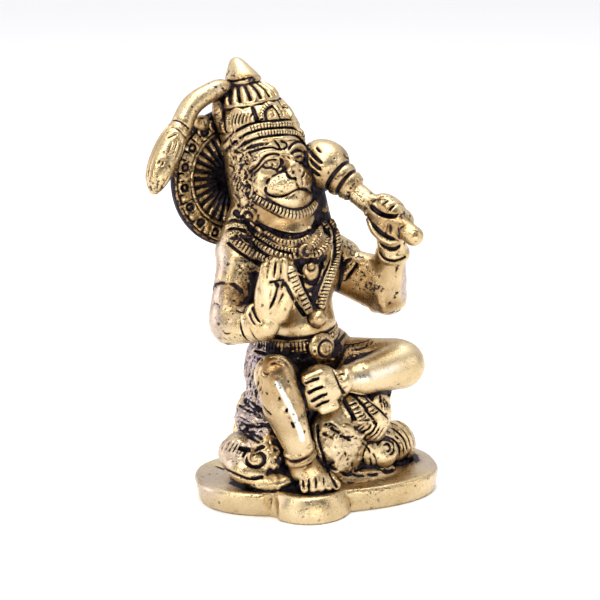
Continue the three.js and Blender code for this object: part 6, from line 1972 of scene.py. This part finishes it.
def brass_material():
    """Cast brass, polished on what stands proud, with black patina left in every hollow, painted shade darkening broad
    recesses and undersides, and painted highlights and reflections in marked places.
    """
    m = bpy.data.materials.new("antique_brass")
    k = Nodes(m)
    co = k.add("ShaderNodeTexCoord").outputs["Object"]
    fine, mid, deep, soak = k.attr("fine"), k.attr("mid"), k.attr("deep"), k.attr("soak")
    n_small = k.noise(1900, 3, 0.6, co)
    n_mid = k.noise(520, 4, 0.62, co)
    n_big = k.noise(110, 3, 0.5, co)
    # how sunk the point is, and what the chasing left in it; the mid and deep terms also darken broad recesses and the
    # gaps between parts as painted shade
    sunk = k.math("MULTIPLY", k.math("ADD", fine, 0.02), 2.8)
    sunk = k.math("ADD", sunk, k.math("MULTIPLY", k.math("ADD", mid, 0.14), 2.0))
    sunk = k.math("ADD", sunk, k.math("MULTIPLY", k.math("ADD", deep, 0.10), 1.1))
    sunk = k.math("ADD", k.math("MAXIMUM", sunk, -0.9), k.math("MULTIPLY", soak, 0.75))
    rag = k.math("MULTIPLY", k.math("SUBTRACT", n_small, 0.5), 0.9)
    rag = k.math("ADD", rag, k.math("MULTIPLY", k.math("SUBTRACT", n_mid, 0.5), 1.3))
    rag = k.math("ADD", rag, k.math("MULTIPLY", k.math("SUBTRACT", n_big, 0.5), 0.5))
    # strokes chased across the strips, black at the bottom
    lay, side = k.attr("lay"), k.attr("side")
    off = k.math("ABSOLUTE", k.math("SUBTRACT", k.math("FRACT", lay), 0.5))
    off = k.math("ADD", off, k.math("MULTIPLY", k.math("SUBTRACT", n_mid, 0.5), 0.22))
    cutline = k.math("MULTIPLY", k.step(off, 0.12, 0.22, 1.0, 0.0), k.step(side, 0.85, 1.15, 1.0, 0.0))
    sunk = k.math("ADD", sunk, k.math("MULTIPLY", cutline, 1.15))
    black = k.step(k.math("ADD", sunk, rag), 0.20, 0.36)
    # fine specks where the skin was left rough
    spot = k.attr("spot")
    n_fleck = k.noise(1350, 3, 0.55, co, 0.6)
    lim = k.math("SUBTRACT", 0.74, k.math("MULTIPLY", spot, 0.24))
    fleck = k.math("MULTIPLY", k.step(k.math("SUBTRACT", k.math("ADD", n_fleck, k.math("MULTIPLY", k.math("SUBTRACT", n_mid, 0.5), 0.25)), lim), -0.02, 0.05), k.step(spot, 0.02, 0.12))
    black = k.math("MAXIMUM", black, k.math("MULTIPLY", fleck, 0.96))
    # casting pits holding patina on open surfaces
    v = k.add("ShaderNodeTexVoronoi", {"Vector": co, "Scale": 480.0, "Randomness": 1.0})
    keep = k.step(k.noise(170, 4, 0.75, co), 0.50, 0.62)
    pit = k.math("MULTIPLY", k.step(k.math("ADD", v.outputs["Distance"], k.math("MULTIPLY", k.math("SUBTRACT", n_small, 0.5), 0.3)), 0.14, 0.26, 1.0, 0.0), keep)
    # wide worn blotches
    blot = k.math("MULTIPLY", k.step(k.noise(75, 5, 0.7, co), 0.60, 0.68), k.step(n_mid, 0.46, 0.58))
    pit = k.math("MAXIMUM", pit, blot)
    black = k.math("MAXIMUM", black, k.math("MULTIPLY", pit, 0.93))
    # brown film round the hollows, and painted shade in brown on faces turned down
    brown_film_and_shade = k.step(k.math("ADD", k.math("ADD", sunk, k.math("MULTIPLY", k.attr("under"), 0.55)), k.math("MULTIPLY", rag, 0.6)), -0.65, 0.35)
    gold = k.mix(k.step(n_big, 0.35, 0.68), (0.62, 0.485, 0.285, 1), (0.53, 0.395, 0.205, 1))
    gold = k.mix(k.math("MULTIPLY", k.step(n_mid, 0.4, 0.75), 0.3), gold, (0.74, 0.60, 0.38, 1))
    brown = k.mix(n_mid, (0.22, 0.115, 0.035, 1), (0.36, 0.205, 0.065, 1))
    col = k.mix(k.math("MULTIPLY", brown_film_and_shade, 0.75), gold, brown)
    # brown, partly tarnish and partly painted shade, and a grey violet tint, partly bloom and partly painted
    # reflection, both cloudy
    col = k.mix(k.math("MULTIPLY", k.attr("browned"), k.step(k.math("ADD", n_mid, k.math("MULTIPLY", n_big, 0.5)), 0.35, 0.95, 0.55, 0.95)), col, k.mix(n_small, (0.13, 0.062, 0.016, 1), (0.30, 0.155, 0.045, 1)))
    bloom_and_reflection = k.math("MULTIPLY", k.attr("ashen"), k.step(k.math("ADD", k.math("MULTIPLY", n_small, 0.6), k.math("MULTIPLY", n_mid, 0.4)), 0.36, 0.58, 0.25, 0.85))
    col = k.mix(bloom_and_reflection, col, k.mix(n_big, (0.36, 0.30, 0.33, 1), (0.27, 0.25, 0.34, 1)))
    dark = k.mix(k.step(n_mid, 0.35, 0.7), (0.006, 0.005, 0.007, 1), (0.045, 0.036, 0.046, 1))
    # fine tarnish that the polish didn't reach
    speck = k.step(k.math("ADD", n_small, k.math("MULTIPLY", k.math("SUBTRACT", n_big, 0.5), 0.35)), 0.57, 0.72)
    col = k.mix(k.math("MULTIPLY", speck, 0.45), col, brown)
    # painted highlight: near-white colour along the drawn highlight lines
    worn = k.attr("worn")
    col = k.mix(k.math("MULTIPLY", worn, 0.9), col, (0.96, 0.93, 0.84, 1))
    col = k.mix(black, col, dark)
    rough = k.math("ADD", k.step(n_mid, 0.3, 0.75, 0.22, 0.36), k.math("MULTIPLY", brown_film_and_shade, 0.08))
    rough = k.math("ADD", rough, k.math("MULTIPLY", black, 0.16))
    # fine cast grain, pits and file marks
    grain = k.noise(1500, 5, 0.7, co)
    bump1 = k.add("ShaderNodeBump", {"Height": grain, "Strength": 0.3, "Distance": 0.0003})
    hgt = k.math("SUBTRACT", 1.0, k.math("MAXIMUM", k.math("MAXIMUM", pit, cutline), fleck))
    bump2 = k.add("ShaderNodeBump", {"Height": hgt, "Strength": 0.5, "Distance": 0.0003, "Normal": bump1.outputs[0]})
    b = k.add("ShaderNodeBsdfPrincipled", {"Base Color": col, "Roughness": rough, "Normal": bump2.outputs[0]})
    b.inputs["Metallic"].default_value = 1.0
    k.add("ShaderNodeOutputMaterial", {"Surface": b.outputs[0]})
    return m


def floor_material():
    m = bpy.data.materials.new("white_table")
    k = Nodes(m)
    co = k.add("ShaderNodeTexCoord").outputs["Object"]
    n = k.noise(9, 2, 0.5, co)
    col = k.mix(n, (0.93, 0.93, 0.925, 1), (0.95, 0.95, 0.95, 1))
    b = k.add("ShaderNodeBsdfPrincipled", {"Base Color": col})
    b.inputs["Roughness"].default_value = 0.9
    k.add("ShaderNodeOutputMaterial", {"Surface": b.outputs[0]})
    return m


def make_stage():
    # one wide table top, as far as the camera sees
    xs = np.linspace(-4.0, 4.0, 9)
    verts = [(x, y, -0.00002) for y in xs for x in xs]
    faces = []
    n = len(xs)
    for i in range(n - 1):
        for j in range(n - 1):
            faces.append((i * n + j, i * n + j + 1, (i + 1) * n + j + 1, (i + 1) * n + j))
    me = bpy.data.meshes.new("table")
    me.from_pydata(verts, [], faces)
    ob = bpy.data.objects.new("table", me)
    bpy.context.scene.collection.objects.link(ob)
    me.materials.append(floor_material())
    return ob


def aimed(ob, place, target):
    d = Vector(target) - Vector(place)
    ob.location = place
    ob.rotation_euler = d.to_track_quat("-Z", "Y").to_euler()


def area(name, place, target, size, power, colour=(1, 1, 1)):
    li = bpy.data.lights.new(name, "AREA")
    li.shape = "RECTANGLE"
    li.size, li.size_y = size
    li.energy = power
    li.color = colour
    ob = bpy.data.objects.new(name, li)
    bpy.context.scene.collection.objects.link(ob)
    aimed(ob, place, target)
    return ob


def make_light():
    # a white room, dimmer on the camera's side
    w = bpy.data.worlds.new("studio")
    bpy.context.scene.world = w
    w.use_nodes = True
    t = w.node_tree
    co = t.nodes.new("ShaderNodeTexCoord")
    sep = t.nodes.new("ShaderNodeSeparateXYZ")
    t.links.new(co.outputs["Generated"], sep.inputs[0])
    mr = t.nodes.new("ShaderNodeMapRange")
    mr.interpolation_type = "SMOOTHSTEP"
    t.links.new(sep.outputs["Y"], mr.inputs["Value"])
    mr.inputs["From Min"].default_value = -0.75
    mr.inputs["From Max"].default_value = 0.35
    mr.inputs["To Min"].default_value = 0.115
    mr.inputs["To Max"].default_value = 0.95
    up = t.nodes.new("ShaderNodeMapRange")
    up.interpolation_type = "SMOOTHSTEP"
    t.links.new(sep.outputs["Z"], up.inputs["Value"])
    up.inputs["From Min"].default_value = 0.35
    up.inputs["From Max"].default_value = 0.95
    up.inputs["To Min"].default_value = 0.0
    up.inputs["To Max"].default_value = 0.6
    ad = t.nodes.new("ShaderNodeMath")
    ad.operation = "ADD"
    t.links.new(mr.outputs[0], ad.inputs[0])
    t.links.new(up.outputs[0], ad.inputs[1])
    bg = t.nodes["Background"]
    bg.inputs["Color"].default_value = (0.97, 0.97, 1.0, 1)
    t.links.new(ad.outputs[0], bg.inputs["Strength"])
    at = (0, 0, 0.055)
    area("key", (-0.22, -0.36, 0.62), at, (0.24, 0.24), 2.0, (1.0, 0.98, 0.95))
    area("top", (0.10, 0.05, 0.80), at, (0.5, 0.3), 3.2, (1.0, 1.0, 1.0))
    area("strip", (-0.46, -0.40, 0.22), at, (0.05, 0.42), 0.8, (1.0, 0.98, 0.96))
    area("side", (-0.62, 0.18, 0.18), at, (0.3, 0.4), 1.0, (0.88, 0.82, 1.0))
    area("right", (0.60, -0.30, 0.26), at, (0.16, 0.4), 0.7, (1.0, 0.97, 1.0))
    area("low", (0.06, -0.62, 0.05), (0.0, 0.0, 0.045), (0.5, 0.07), 0.9, (1.0, 0.99, 0.97))
    v = bpy.context.scene.view_settings
    v.view_transform = "Standard"
    v.look = "None"


def make_camera():
    cam = bpy.data.cameras.new("camera")
    cam.sensor_fit = "HORIZONTAL"
    cam.sensor_width = 36.0
    cam.lens = CAM_FOCAL * 36.0 / 600.0
    cam.clip_start = 0.02
    cam.clip_end = 20
    ob = bpy.data.objects.new("camera", cam)
    bpy.context.scene.collection.objects.link(ob)
    right, up, back = camera_axes()
    place = (CAM_TARGET + CAM_D * back) / 1000.0
    M = Matrix.Identity(4)
    for i in range(3):
        M[i][0], M[i][1], M[i][2], M[i][3] = right[i], up[i], back[i], place[i]
    ob.matrix_world = M
    bpy.context.scene.camera = ob
    return ob


figure = make_object()
figure.data.materials.clear()
figure.data.materials.append(brass_material())
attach(figure, "root")
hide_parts("hanuman_figure")
make_stage()
make_light()
make_camera()
bpy.context.view_layer.update()
